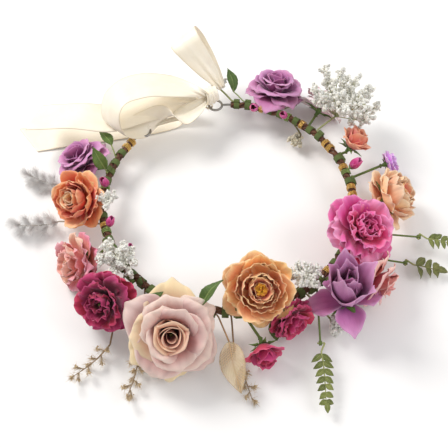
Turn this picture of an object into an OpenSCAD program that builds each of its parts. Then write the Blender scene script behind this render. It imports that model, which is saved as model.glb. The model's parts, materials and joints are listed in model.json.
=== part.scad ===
/* [Hoop] */
// Radius of the hoop's centre line
hoop_r = 96; // [85:1:105]
// Radius of the brown wrapped vine
wrap_r = 2.6; // [2:0.1:3.5]
// Radius of the steel wire inside the wrap
wire_r = 1; // [0.6:0.1:1.4]
// Angle of the right-hand end of the hoop
end_right = 64; // [55:1:75]
// Angle of the left-hand end of the hoop
end_left = 118; // [110:1:130]

/* [Flowers] */
// Thickness of a petal layer
petal_t = 0.6; // [0.4:0.1:1]
// Radius of the stem wires
stem_r = 1; // [0.7:0.1:1.2]
// Height of the table under the hoop's plane
table_drop = 22; // [18:1:30]

/* [Ribbon] */
// Width of the satin ribbon
ribbon_w = 28; // [20:1:36]
// Thickness of the satin ribbon
ribbon_t = 0.6; // [0.4:0.1:1]

/* [Hidden] */
$fn = 48;
floor_z = -table_drop;
gap = 0.05;
peg_gap = 0.3;

// place: x, y, height of the flower's base, heading, lift, diameter, cup
P = [
  [ -88,  86, -10, 130, 55, 42, 0.20],
  [-104,  43,   5,-160, 50, 44, 0.22],
  [-120,  -3,-6.2, 180, 28, 46, 0.22],
  [-115, -46,   5,-145, 40, 46, 0.24],
  [ -84, -86,   4,-105, 54, 62, 0.20],
  [ -17, -86,  12,-110, 60, 52, 0.24],
  [  -3,-107,  -4, -80,  5, 34, 0.25],
  [  38,-114,   1,  90, 86, 44, 0.25],
  [  64,-107,  -2, -58, -5, 38, 0.25],
  [  72, -74,  11, -60, 66, 52, 0.24],
  [ 112, -52,   0, -22, 40, 46, 0.24],
  [ 113,  57,-9.5,  27, 30, 38, 0.22],
  [  83,  83,  -3,  45, 70, 46, 0.24],
  [ -29,-118,-7.8,-100,  0, 28, 0.25],
  [ 110,   3,   3,  10, 50, 30, 0.34],
  [ 132, -20,  -5, -10, 10, 20, 0.25]
];
// hoop angle at which each flower's stem turns out
U = [136.5, 156.5, 180.5, 201.5, 225, 257, 268.5, 290.5, 300.5, 312, 333, 383, 406, 251.5, 361, 347];
// how far each layer stands above the one outside it
RISE = [1.2, 1.2, 1.2, 1.2, 1.6, 1.2, 1.2, 7, 1.2, 1.2, 1.2, 1.2, 3, 1.2, 1.2, 1.2];
// petals in the outer layer
PET = [6, 6, 6, 6, 5, 6, 6, 6, 6, 6, 6, 6, 6, 5, 5, 5];

function ax(yaw, pitch) = [cos(pitch)*cos(yaw), cos(pitch)*sin(yaw), sin(pitch)];
module rod(p, q, r) {
  d = q - p; L = norm(d);
  translate(p) rotate([0, acos(d[2]/L), atan2(d[1], d[0])]) cylinder(r=r, h=L, $fn=24);
}
module bend(p, square, turn=20, tilt=0, w=1.9) { translate(p) if (square) rotate([0, -tilt, turn]) cube(w, center=true); else sphere(r=stem_r + 0.25, $fn=24); }
module aim(p, yaw, pitch) { translate(p) rotate([0, 0, yaw]) rotate([0, 90 - pitch, 0]) children(); }
module at_flower(i) { aim([P[i][0], P[i][1], P[i][2]], P[i][3], P[i][4]) children(); }

module rosette(a, n) { for (i=[0:n-1]) rotate(i*360/n) translate([0.42*a, 0]) circle(r=0.6*a); circle(r=0.5*a); }
// one cupped layer: rim radius a, height h, petals n, start b
module layer(a, h, n, b, turn) {
  R = (a*a + h*h)/(2*h);
  ra = h > a ? 1.03*R : a;
  difference() {
    intersection() {
      translate([0, 0, R + b]) sphere(r=R);
      rotate(turn) translate([0, 0, b - 0.5]) linear_extrude(h + 0.5) rosette(ra, n);
    }
    translate([0, 0, R + b]) sphere(r=R - petal_t);
    translate([0, 0, -1]) cylinder(r=stem_r + peg_gap, h=70, $fn=24);
  }
}
module petals(i) {
  d = P[i][5]; c = P[i][6]; n = PET[i]; b = RISE[i];
  at_flower(i) {
    layer(0.50*d, c*d, n, 0, 0);
    layer(0.41*d, (c + 0.06)*d, n, b, n == 5 && d > 60 ? 27 : 180/n);
    layer(0.32*d, (c + 0.10)*d, n, 2*b, 70/n);
    if (d > 30) layer(0.235*d, (c + 0.13)*d, 4, 3*b, 20);
  }
}
function heart_z(i) = (P[i][5] > 30 ? 3 : 2)*RISE[i] + 1.4;
module heart(i) {
  d = P[i][5]; w = 0.13*d; t = (P[i][6] + 0.16)*d;
  at_flower(i) difference() {
    translate([0, 0, heart_z(i)]) rotate_extrude() polygon([[0, 0], [0.45*w, 0], [0.8*w, 0.15*t], [w, 0.4*t], [w, 0.65*t], [0.7*w, 0.85*t], [0.35*w, 0.95*t], [0, t]]);
    translate([0, 0, -1]) cylinder(r=stem_r + gap, h=heart_z(i) + 1 + 0.4*t, $fn=24);
  }
}
// sepal cup under each flower, with the stem through it
module sepal(i) {
  d = P[i][5]; a = 0.22*d; R = 0.8*d;
  at_flower(i) difference() {
    union() {
      intersection() {
        translate([0, 0, R - 1.4]) sphere(r=R);
        translate([0, 0, R - 1.4]) difference() { translate([-a, -a, -R]) cube([2*a, 2*a, R]); sphere(r=R - 0.7); }
        translate([0, 0, -2]) linear_extrude(a) for (k=[0:4]) rotate(k*72 + 36) polygon([[0, -0.32*a], [0.55*a, -0.24*a], [a, 0], [0.55*a, 0.24*a], [0, 0.32*a]]);
      }
      translate([0, 0, -4.5]) cylinder(r1=1.8, r2=2.8, h=3.4, $fn=32);
    }
    translate([0, 0, -6]) cylinder(r=stem_r + gap, h=12, $fn=24);
  }
}

// a stem is bound along the hoop, turns out at angle u and runs to the flower
function foot_dir(p) = atan2(p[2], norm([p[0], p[1]]) - hoop_r);
function bind_d() = wrap_r + stem_r + 0.2;
module foot(u, f) {
  rotate([0, 0, u - 4.5]) rotate_extrude(angle=4.5) translate([hoop_r + bind_d()*cos(f), bind_d()*sin(f)]) circle(r=stem_r, $fn=24);
}
function elbow(u, f) = [(hoop_r + bind_d()*cos(f))*cos(u), (hoop_r + bind_d()*cos(f))*sin(u), bind_d()*sin(f)];
module stem(i) {
  p = [P[i][0], P[i][1], P[i][2]]; a = ax(P[i][3], P[i][4]); d = P[i][5];
  u = U[i]; s = p - 6*a; f = foot_dir(s); e = elbow(u, f);
  foot(u, f);
  bend(e, true, u, f, 2.3);
  rod(e, s, stem_r);
  bend(s, true, u + 50, 0, 2.3);
  rod(s, p + (heart_z(i) + 0.3*(P[i][6] + 0.16)*d)*a, stem_r);
}
module band(u, f, r=1) {
  rotate([0, 0, u - 3.8]) rotate_extrude(angle=2.8) translate([hoop_r, 0]) difference() {
    union() { circle(r=wrap_r + 0.7, $fn=32); rotate(f) translate([bind_d(), 0]) circle(r=r + 0.7, $fn=32); }
    circle(r=wrap_r + gap, $fn=32);
    rotate(f) translate([bind_d(), 0]) circle(r=r + gap, $fn=32);
  }
}
// other pieces bound to the hoop: angle, side of the hoop
T = [[377, 60], [391.5, -75], [186, 100], [162, 150], [274, 110], [279.5, -60], [423, 70], [147.5, -60], [167.5, -60],
  [207, -70], [195.5, -40], [246, -60], [284.6, -30], [318, -30], [306, -40], [240.5, -50],
  [417.5, 40], [142, 75], [213, 30], [231, 60], [263, -50], [400.5, -30], [130, -30]];
// a bound stem ending at point q
module bound(k, q, r=0.8) {
  e = elbow(T[k][0], T[k][1]);
  foot(T[k][0], T[k][1]);
  bend(e, k == 4 || k == 16, T[k][0] + 20);
  rod(e, q, r);
}

module hoop_wire() color("silver") {
  rotate([0, 0, end_left - 4]) rotate_extrude(angle=360 - (end_left - end_right) + 8) translate([hoop_r, 0]) circle(r=wire_r, $fn=24);
  for (u=[end_left - 7.2, end_right + 7.2]) rotate([0, 0, u]) translate([hoop_r, 0, 0]) rotate_extrude() translate([5.4, 0]) circle(r=wire_r, $fn=24);
}
module vine_wrap() color("saddlebrown") rotate([0, 0, end_left]) rotate_extrude(angle=360 - (end_left - end_right)) translate([hoop_r, 0]) difference() {
  circle(r=wrap_r, $fn=32);
  circle(r=wire_r + gap, $fn=24);
}
G = [119.6, 123.5, 170, 215.5, 218.6, 234, 293, 321, 324.5, 337, 341, 353, 366, 369.4, 385.5, 408];
module gold_binding_wire() color("gold") for (u=G, k=[-1:1]) rotate([0, 0, u + k*0.8]) translate([hoop_r, 0, 0]) rotate([90, 0, 0])
  rotate_extrude() translate([wrap_r + gap + 0.4, 0]) circle(r=0.4, $fn=16);
module stem_tape() color("olivedrab") {
  for (i=[0:15]) { p = [P[i][0], P[i][1], P[i][2]]; s = p - 6*ax(P[i][3], P[i][4]); band(U[i], foot_dir(s), stem_r); }
  for (k=T) band(k[0], k[1], stem_r);
}

// ---- ribbon ----
K = [27, 93, 12.2];
module tongue(dz, x0, x1) { translate([K[0] + x0, K[1] - 2, K[2] + dz - 0.5]) cube([x1 - x0, 4, 1]); }
module bow_knot() color("ivory") translate(K) rotate([0, 90, 0]) for (k=[-1:1]) translate([0, 0, k*2.6])
  rotate_extrude() translate([5.7, 0]) circle(r=2.2 + (k == 0 ? 0.15 : 0), $fn=32);
// loop seen from the side: a round end of radius r at distance L, closing to a point
module drop2d(L, r) {
  a = acos(r/L);
  circle(r=r, $fn=64);
  polygon([[L, 0], [r*cos(a), r*sin(a)], [0, 0], [r*cos(a), -r*sin(a)]]);
}
module loop_band(L, r, w, neck) intersection() {
  rotate([90, 0, 0]) translate([0, 0, -w/2]) linear_extrude(w) difference() { drop2d(L, r); drop2d(L - ribbon_t*L/r - 0.5, r - ribbon_t); }
  translate([0, 0, -r - 1]) linear_extrude(2*r + 2) polygon([[-r - 1, -w/2], [L - neck, -w/2], [L + 2, -2], [L + 2, 2], [L - neck, w/2], [-r - 1, w/2]]);
}
module bow_loop_large() color("ivory") {
  translate([-41, 95, 22]) rotate([0, 0, -2]) rotate([0, 9.4, 0]) loop_band(64, 13, ribbon_w, 22);
  tongue(-0.7, -9, 6);
}
module bow_loop_small() color("ivory") {
  translate([27.6, 130.5, 33.3]) rotate([0, 0, -72]) rotate([0, 29, 0]) rotate([38, 0, 0]) loop_band(42, 11, ribbon_w - 2, 20);
  tongue(0.7, -6, 11);
  translate([38.2, 95, 12.9]) sphere(r=1.4, $fn=24);
}
// left band: from the knot to a ring of ribbon through the wire eye
function eye(u) = [hoop_r*cos(u), hoop_r*sin(u), 0];
module ring_in_eye(u, side) {
  translate(eye(u) + 5.4*[-side*sin(u), side*cos(u), 0]) rotate([0, 0, u + 90]) rotate([90, 0, 0]) difference() { cylinder(r=3.9, h=1.8, center=true, $fn=48); cylinder(r=2.1, h=4, center=true, $fn=48); }
}
module ribbon_band_left() color("ivory") {
  ring_in_eye(end_left - 7.2, -1);
  q = eye(end_left - 7.2) + 8.4*[sin(end_left - 7.2), -cos(end_left - 7.2), 0];
  rod(q, [2, 87, 5], 0.9);
  translate([2, 87, 5]) rotate([0, 0, 12]) cube(2.6, center=true);
  rod([2, 87, 5], [16, 93, 10.1], 0.9);
  translate([16, 93, 10.1]) rotate([0, 0, 12]) cube(2.4, center=true);
  tongue(-2.1, -11, 6);
}
module ribbon_band_right() color("ivory") {
  ring_in_eye(end_right + 7.2, 1);
}
// a bent strip seen from the side, o = half its thickness as an offset
module strip(pts, o) polygon([for (p=pts) p + o, for (i=[len(pts)-1:-1:0]) pts[i] - o]);
module tail(path, w, neck, L, o) intersection() {
  rotate([90, 0, 0]) translate([0, 0, -w/2]) linear_extrude(w) strip(path, o);
  translate([0, 0, -40]) linear_extrude(80) polygon([[-2, -3], [2, -3], [neck, -w/2], [L, -w/2], [L - 16, w/2], [neck, w/2], [2, 3], [-2, 3]]);
}
TU = [19, 98.5, 5];
TL = [21, 104, 0];
module ribbon_tail_upper() color("ivory") translate(TU) rotate([0, 0, 164.5]) {
  tail([[0, 0], [14, 1.4], [64, 1.4], [90, 3.4], [138, 3]], ribbon_w, 24, 138, [0, ribbon_t/2]);
  translate([0, 0, -3]) cylinder(r=0.8, h=4.5, $fn=24);
}
module ribbon_tail_lower() color("ivory") translate(TL) rotate([0, 0, 166]) {
  tail([[0, 0], [7, -6], [14, -18], [20, -21.5], [150, -21.5]], ribbon_w, 24, 150, [ribbon_t/3, ribbon_t/2]);
  translate([0, 0, -1.5]) cylinder(r=0.8, h=4.5, $fn=24);
}

// ---- small pieces ----
module vesica(L, w) { R = (L*L/4 + w*w/4)/w; intersection() { translate([L/2, R - w/2]) circle(r=R, $fn=96); translate([L/2, -R + w/2]) circle(r=R, $fn=96); } }
module leaf(p, yaw, pitch, L, w, roll=0) translate(p) rotate([0, 0, yaw]) rotate([0, -pitch, 0]) rotate([roll, 0, 0]) { translate([-1.5, 0, -0.3]) linear_extrude(0.6) vesica(L + 1.5, w); }
module bud(p, yaw, pitch, r) aim(p, yaw, pitch) rotate_extrude() polygon([[0, -r], [0.6*r, -0.8*r], [r, -0.1*r], [0.9*r, 0.5*r], [0.45*r, 1.3*r], [0, 1.75*r]]);
// buds: hoop angle, side, heading, lift, radius
B = [[411, 140, 231, 50, 3.6], [394, 140, 200, 60, 3.2], [149.5, 150, 150, 70, 3.4], [173.5, 110, 20, 60, 3.2], [188.6, 150, 0, 50, 3.2], [350, 70, -10, 50, 4]];
module magenta_buds() color("mediumvioletred") for (b=B) { a = ax(b[2], b[3]); q = elbow(b[0], b[1]);
  rotate([0, 0, b[0] - 1.4]) rotate_extrude(angle=2.8) translate([hoop_r, 0]) difference() { circle(r=wrap_r + 1, $fn=32); circle(r=wrap_r + gap, $fn=32); }
  rod(q - 0.6*(q - eye(b[0]))/norm(q - eye(b[0])), q + 1.5*a, 0.8);
  translate(q + 1.5*a) if (b[0] == 188.6) rotate([0, 0, 20]) cube(1.9, center=true); else sphere(r=1.1, $fn=24);
  rod(q + 1.5*a, q + (3 + b[4])*a, 0.8);
  bud(q + (3 + b[4])*a, b[2], b[3], b[4]);
}

function gold_angle(i) = i*137.5;
// an umbel of small round florets on thin stalks
module umbel(p, yaw, pitch, L, n, spread, r) aim(p, yaw, pitch) for (i=[0:n-1]) {
  s = spread*sqrt((i + 0.5)/n); l = L*(0.88 + 0.12*sin(i*71));
  rotate([0, 0, gold_angle(i)]) rotate([0, s, 0]) { cylinder(r=0.4, h=l, $fn=12); translate([0, 0, l]) sphere(r=r, $fn=24); }
}
module spray(k, q, yaw, pitch, L, n, spread, r) { bound(k, q); if (k == 2 || k == 4) translate(q) rotate([0, 0, yaw + 12]) cube(3.2, center=true); else translate(q) sphere(r=1.9, $fn=24); umbel(q, yaw, pitch, L, n, spread, r); }
module spray_right() color("white") spray(0, [112, 32, 8], 20, 62, 40, 16, 62, 3.2);
module spray_right_inner() color("white") spray(1, [86, 40, -11], 200, -12, 11, 7, 36, 2);
module spray_left() color("white") spray(2, [-97, -21, 8], -150, 88, 17, 12, 80, 2.4);
module spray_left_back() color("white") spray(3, [-88, 28, 8], 60, 70, 11, 6, 60, 1.9);
module spray_front() color("white") spray(4, [14, -93, 8], 40, 78, 18, 8, 52, 2.4);
module spray_crimson() color("white") spray(5, [26, -116, -15], -80, 20, 14, 6, 35, 2.2);
module spray_ribbon_end() color("white") spray(6, [40, 100, 6], 80, 20, 10, 5, 55, 1.8);

// a plume: tapering stalk with short side tufts
module plume(p, yaw, pitch, L, n, r) aim(p, yaw, pitch) {
  cylinder(r=0.7, h=L, $fn=16);
  for (i=[1:n]) translate([0, 0, L*i/n - 2.2]) rotate([0, 0, gold_angle(i)]) rotate([0, 58, 0]) { cylinder(r=0.5, h=r, $fn=12); translate([0, 0, r + 0.4]) sphere(r=0.24*r, $fn=20); }
}
module plumed(k, q, yaw, pitch, L, n, r) { bound(k, q, 0.7); translate(q) sphere(r=1.4, $fn=20); plume(q, yaw, pitch, L, n, r); }
module dried_plumes() color("lightgray") {
  plumed(7, [-113, 79, -15], 138, 6, 26, 9, 6);
  plumed(8, [-124, 44, -13], 165, 6, 34, 10, 6);
}
module dried_sprigs() color("tan") {
  plumed(9, [-108, -84, -12], -125, -4, 32, 9, 5.5);
  plumed(10, [-124, -70, -12], -160, -2, 34, 9, 5.5);
  plumed(11, [-49, -115, -14], -92, -3, 32, 8, 5);
}
module skeleton_leaf() color("wheat") { bound(15, [-49, -106, -6], 0.7); leaf([-49, -106, -6], -105, 5, 36, 17, 20); }

// leaves: place, heading, lift, length, width, roll
LV = [[[50, 96, 3], 75, 25, 20, 9, 30], [[-77, 62, 6], 115, 62, 18, 9, -30], [[-98, -62, 6], -20, 50, 24, 10, 40], [[-60, -80, 8], 20, 40, 24, 10, -30],
      [[-13, -102, -9], -100, -35, 14, 8, 0], [[96, 68, -8], 70, 0, 22, 9, -20], [[-63, 88, -1], 100, 10, 16, 8, 20]];
module green_leaves() color("darkolivegreen") for (k=[0:6]) { v = LV[k];
  bound(16 + k, v[0], 0.7);
  leaf(v[0], v[1], v[2], v[3], v[4], v[5]);
}
// a fern: stalk with pairs of small leaves
module fern(L, n, l, w) {
  translate([6, 0, 0]) rotate([0, 90, 0]) cylinder(r=0.7, h=L - 6, $fn=16);
  for (i=[1:n]) for (s=[-1, 1]) translate([5 + (L - 5)*(i - 0.5)/n, 0, 0]) rotate([0, 0, s*55]) translate([0, 0, -0.3]) linear_extrude(0.6) vesica(l*(1.15 - 0.5*i/n), w);
  translate([L - 1, 0, -0.3]) linear_extrude(0.6) vesica(l*0.8, w);
}
FF = [8, -133, -7];
FS = [118, -88, -8];
FT = [99, -101, -13];
// a bend: the sprig's wire turns into a short cross pin that lies in a small eye on the stem
module pin(p, yaw, r, h) translate(p) rotate([0, 0, yaw]) rotate([90, 0, 0]) cylinder(r=r, h=h, center=true, $fn=24);
module cross_pin() { translate([0, 0.3, 0]) rotate([90, 0, 0]) cylinder(r=0.7, h=5, center=true, $fn=24);
  translate([0, 2.8, 0]) rotate([0, 0, 20]) cube(1.9, center=true); rod([0, 2.8, 0], [6, 0, 0], 0.55); translate([6, 0, 0]) rotate([0, 0, 20]) cube(1.7, center=true); }
module fern_sprig_front() color("olivedrab") { translate(FF) rotate([0, 0, -112]) rotate([0, 8, 0]) { cross_pin(); fern(42, 7, 8, 4); } }
module fern_sprig_side() color("olivedrab") { translate(FS) rotate([0, 0, -42]) rotate([0, -6, 0]) { cross_pin(); fern(28, 5, 8, 4); } }
module leaf_twig_side() color("darkolivegreen") { translate(FT) rotate([0, 0, -36]) rotate([0, 4, 0]) { cross_pin(); fern(24, 3, 11, 6); } }

// eyes that carry the bendable sprigs
module socket(k, c, yaw) { d = c - elbow(T[k][0], T[k][1]); difference() { union() { bound(k, c - 1.3*d/norm(d), 0.7); pin(c, yaw, 1.7, 2); } pin(c, yaw, 0.8, 4); } }

module flower_stems() color("darkolivegreen") { for (i=[0:15]) stem(i); socket(12, FF, -112); socket(13, FS, -42); socket(14, FT, -36); }
module flower_sepals() color("green") for (i=[0:15]) sepal(i);

module mauve_rose_left_petals() color("mediumorchid") petals(0);
module mauve_rose_left_heart() color("purple") heart(0);
module orange_ranunculus_petals() color("tomato") petals(1);
module orange_ranunculus_heart() color("peachpuff") heart(1);
module peach_pink_rose_petals() color("lightsalmon") petals(2);
module peach_pink_rose_heart() color("hotpink") heart(2);
module burgundy_peony_petals() color("crimson") petals(3);
module burgundy_peony_heart() color("darkred") heart(3);
module dusty_pink_rose_petals() color("rosybrown") petals(4);
module dusty_pink_rose_heart() color("lightcoral") heart(4);
module peach_cabbage_rose_petals() color("sandybrown") petals(5);
module peach_cabbage_rose_heart() color("gold") heart(5);
module crimson_rose_petals() color("crimson") petals(6);
module crimson_rose_heart() color("darkred") heart(6);
module mauve_rose_front_petals() color("orchid") petals(7);
module mauve_rose_front_heart() color("purple") heart(7);
module coral_rose_petals() color("coral") petals(8);
module coral_rose_heart() color("lightsalmon") heart(8);
module hot_pink_peony_petals() color("deeppink") petals(9);
module hot_pink_peony_heart() color("mediumvioletred") heart(9);
module peach_rose_right_petals() color("peachpuff") petals(10);
module peach_rose_right_heart() color("orange") heart(10);
module pale_pink_rose_petals() color("mistyrose") petals(11);
module pale_pink_rose_heart() color("pink") heart(11);
module mauve_rose_back_petals() color("mediumorchid") petals(12);
module mauve_rose_back_heart() color("purple") heart(12);
module small_crimson_rose() color("crimson") { petals(13); heart(13); }
module coral_bud() color("coral") { petals(14); heart(14); }
module violet_blossom() color("violet") { petals(15); heart(15); }

hoop_wire();
vine_wrap();
gold_binding_wire();
stem_tape();
ribbon_band_left();
ribbon_band_right();
bow_knot();
bow_loop_large();
bow_loop_small();
ribbon_tail_upper();
ribbon_tail_lower();
mauve_rose_left_petals();
mauve_rose_left_heart();
orange_ranunculus_petals();
orange_ranunculus_heart();
peach_pink_rose_petals();
peach_pink_rose_heart();
burgundy_peony_petals();
burgundy_peony_heart();
dusty_pink_rose_petals();
dusty_pink_rose_heart();
peach_cabbage_rose_petals();
peach_cabbage_rose_heart();
crimson_rose_petals();
crimson_rose_heart();
mauve_rose_front_petals();
mauve_rose_front_heart();
coral_rose_petals();
coral_rose_heart();
hot_pink_peony_petals();
hot_pink_peony_heart();
peach_rose_right_petals();
peach_rose_right_heart();
pale_pink_rose_petals();
pale_pink_rose_heart();
mauve_rose_back_petals();
mauve_rose_back_heart();
small_crimson_rose();
coral_bud();
violet_blossom();
flower_stems();
flower_sepals();
magenta_buds();
green_leaves();
fern_sprig_front();
fern_sprig_side();
leaf_twig_side();
spray_right();
spray_right_inner();
spray_left();
spray_left_back();
spray_front();
spray_crimson();
spray_ribbon_end();
dried_plumes();
dried_sprigs();
skeleton_leaf();
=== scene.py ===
import json
import math

import bpy
import numpy as np
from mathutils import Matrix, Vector

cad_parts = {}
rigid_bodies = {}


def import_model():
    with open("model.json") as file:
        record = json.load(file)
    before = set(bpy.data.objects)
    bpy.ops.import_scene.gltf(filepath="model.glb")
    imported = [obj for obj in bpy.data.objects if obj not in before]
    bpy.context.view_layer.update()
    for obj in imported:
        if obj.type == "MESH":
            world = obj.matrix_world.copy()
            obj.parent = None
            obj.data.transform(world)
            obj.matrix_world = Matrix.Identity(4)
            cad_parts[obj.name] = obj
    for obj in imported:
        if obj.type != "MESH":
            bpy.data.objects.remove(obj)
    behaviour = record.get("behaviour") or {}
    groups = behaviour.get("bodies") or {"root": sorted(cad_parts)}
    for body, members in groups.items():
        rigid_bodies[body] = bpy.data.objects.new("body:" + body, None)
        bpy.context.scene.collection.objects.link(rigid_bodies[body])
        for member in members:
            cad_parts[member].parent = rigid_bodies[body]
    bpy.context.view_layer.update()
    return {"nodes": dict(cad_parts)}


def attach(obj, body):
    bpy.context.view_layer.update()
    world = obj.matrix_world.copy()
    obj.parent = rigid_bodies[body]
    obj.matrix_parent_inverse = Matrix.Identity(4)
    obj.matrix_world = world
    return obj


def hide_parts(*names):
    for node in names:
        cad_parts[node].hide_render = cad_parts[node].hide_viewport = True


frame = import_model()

MM = 0.001
TAU = 2 * math.pi
GOLD = math.radians(137.508)


# ---------------------------------------------------------------- small maths
def rz(a):
    c, s = math.cos(a), math.sin(a)
    return np.array([[c, -s, 0], [s, c, 0], [0, 0, 1.0]])


def ry(a):
    c, s = math.cos(a), math.sin(a)
    return np.array([[c, 0, s], [0, 1.0, 0], [-s, 0, c]])


def rx(a):
    c, s = math.cos(a), math.sin(a)
    return np.array([[1.0, 0, 0], [0, c, -s], [0, s, c]])


def aim(yaw, pitch, roll=0.0):
    """Local +Z points along heading yaw, lifted by pitch (degrees)."""
    return rz(math.radians(yaw)) @ ry(math.radians(90 - pitch)) @ rz(math.radians(roll))


def axis(yaw, pitch):
    y, p = math.radians(yaw), math.radians(pitch)
    return np.array([math.cos(p) * math.cos(y), math.cos(p) * math.sin(y), math.sin(p)])


def unit(v):
    v = np.asarray(v, float)
    return v / (np.linalg.norm(v) + 1e-12)


def smooth(a, b, x):
    t = np.clip((x - a) / (b - a), 0, 1)
    return t * t * (3 - 2 * t)


def catmull(P, n):
    """n points on a smooth curve through P, evenly spaced in parameter."""
    P = np.asarray(P, float)
    Q = np.vstack([2 * P[0] - P[1], P, 2 * P[-1] - P[-2]])
    t = np.linspace(0, len(P) - 1 - 1e-9, n)
    i = t.astype(int)
    f = (t - i)[:, None]
    a, b, c, d = Q[i], Q[i + 1], Q[i + 2], Q[i + 3]
    return 0.5 * (2 * b + (c - a) * f + (2 * a - 5 * b + 4 * c - d) * f**2 + (3 * b - a - 3 * c + d) * f**3)


def even(P, n):
    """The same line again at n evenly spaced points."""
    P = np.asarray(P, float)
    s = np.r_[0, np.cumsum(np.linalg.norm(np.diff(P, axis=0), axis=1))]
    q = np.linspace(0, s[-1], n)
    return np.stack([np.interp(q, s, P[:, k]) for k in range(3)], 1)


# ---------------------------------------------------------------- mesh collector
ATTRS = ("pv", "pu", "pe", "pr", "ring", "su", "sv")


class Geo:
    def __init__(self):
        self.V, self.Q, self.T, self.n = [], [], [], 0
        self.A = {k: [] for k in ATTRS}

    def add(self, V, Q=None, T=None, **attrs):
        V = np.asarray(V, float).reshape(-1, 3)
        self.V.append(V)
        if Q is not None and len(Q):
            self.Q.append(np.asarray(Q, int) + self.n)
        if T is not None and len(T):
            self.T.append(np.asarray(T, int) + self.n)
        for k in ATTRS:
            a = attrs.get(k, 0.0)
            self.A[k].append(np.full(len(V), a, float) if np.isscalar(a) else np.asarray(a, float).ravel())
        self.n += len(V)

    def obj(self, name, mat, body="crown", nodes=(), slot=None, smooth_shade=True):
        V = np.vstack(self.V)
        low = V[:, 2] < -20.6  # cloth that reaches the table lies down on it
        V[low, 2] = -21.9 + 1.3 * np.exp((V[low, 2] + 20.6) / 1.3)
        V = V * MM
        Q = np.vstack(self.Q) if self.Q else np.zeros((0, 4), int)
        T = np.vstack(self.T) if self.T else np.zeros((0, 3), int)
        me = bpy.data.meshes.new(name)
        me.vertices.add(len(V))
        me.vertices.foreach_set("co", V.astype(np.float32).ravel())
        loops = np.concatenate([Q.ravel(), T.ravel()]).astype(np.int32)
        me.loops.add(len(loops))
        me.loops.foreach_set("vertex_index", loops)
        me.polygons.add(len(Q) + len(T))
        starts = np.concatenate([np.arange(len(Q)) * 4, len(Q) * 4 + np.arange(len(T)) * 3]).astype(np.int32)
        me.polygons.foreach_set("loop_start", starts)
        me.update(calc_edges=True)
        me.validate()
        for k in ATTRS:
            a = np.concatenate(self.A[k]).astype(np.float32)
            if np.any(a != 0):
                me.attributes.new(k, "FLOAT", "POINT").data.foreach_set("value", a)
        if smooth_shade:
            me.shade_smooth()
        me.materials.append(mat)
        o = bpy.data.objects.new(name, me)
        bpy.context.scene.collection.objects.link(o)
        if body:
            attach(o, body)
        if nodes:
            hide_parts(*nodes)
        return o


def grid_quads(nv, nu, closed=False):
    i, j = np.meshgrid(np.arange(nv), np.arange(nu if closed else nu), indexing="ij")
    w = nu if closed else nu + 1
    a = i * w + j
    b = i * w + (j + 1) % w
    c = (i + 1) * w + (j + 1) % w
    d = (i + 1) * w + j
    return np.stack([a, b, c, d], -1).reshape(-1, 4)


def sheet_solid(P, t):
    """A thin closed sheet from a grid of points P (rows, columns, 3), t thick. t may be an array."""
    du = np.gradient(P, axis=1)
    dv = np.gradient(P, axis=0)
    n = np.cross(du, dv)
    n /= np.linalg.norm(n, axis=-1, keepdims=True) + 1e-12
    h = (np.asarray(t) / 2)[..., None] if not np.isscalar(t) else t / 2
    top, bot = P + n * h, P - n * h
    R, C = P.shape[:2]
    V = np.concatenate([top.reshape(-1, 3), bot.reshape(-1, 3)])
    q = grid_quads(R - 1, C - 1)
    N = R * C
    idx = np.arange(N).reshape(R, C)
    ring = np.concatenate([idx[0, :-1], idx[:-1, -1], idx[-1, :0:-1], idx[:0:-1, 0]])
    nxt = np.roll(ring, -1)
    rim = np.stack([ring, ring + N, nxt + N, nxt], -1)
    Q = np.concatenate([q, q[:, ::-1] + N, rim])
    return V, Q


def tube(pts, r, sides=8, closed=False, phase=0.0):
    """A tube along pts; r is a number or one radius per point."""
    P = np.asarray(pts, float)
    n = len(P)
    r = np.full(n, r, float) if np.isscalar(r) else np.asarray(r, float)
    T = (np.roll(P, -1, 0) - np.roll(P, 1, 0)) if closed else np.gradient(P, axis=0)
    T /= np.linalg.norm(T, axis=1, keepdims=True) + 1e-12
    ref = np.array([0, 0, 1.0]) if abs(T[0][2]) < 0.9 else np.array([1.0, 0, 0])
    X = np.zeros_like(P)
    x = unit(np.cross(T[0], ref))
    for i in range(n):
        x = unit(x - T[i] * np.dot(x, T[i]))
        X[i] = x
    Y = np.cross(T, X)
    a = np.linspace(0, TAU, sides, endpoint=False) + phase
    V = P[:, None] + r[:, None, None] * (np.cos(a)[None, :, None] * X[:, None] + np.sin(a)[None, :, None] * Y[:, None])
    V = V.reshape(-1, 3)
    Q = grid_quads(n - 1, sides, closed=True)
    T3 = []
    if closed:
        last = (n - 1) * sides
        Q = np.concatenate([Q, np.stack([last + np.arange(sides), last + (np.arange(sides) + 1) % sides, (np.arange(sides) + 1) % sides, np.arange(sides)], -1)])
    else:
        V = np.vstack([V, P[0], P[-1]])
        c0, c1 = n * sides, n * sides + 1
        j = np.arange(sides)
        T3 = np.concatenate([np.stack([np.full(sides, c0), (j + 1) % sides, j], -1), np.stack([np.full(sides, c1), (n - 1) * sides + j, (n - 1) * sides + (j + 1) % sides], -1)])
    s = np.r_[0, np.cumsum(np.linalg.norm(np.diff(P, axis=0), axis=1))]
    sv = np.repeat(s, sides)
    su = np.tile(a / TAU, n)
    if not closed:
        sv, su = np.r_[sv, s[0], s[-1]], np.r_[su, 0, 0]
    return V, Q, T3, sv, su


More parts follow.
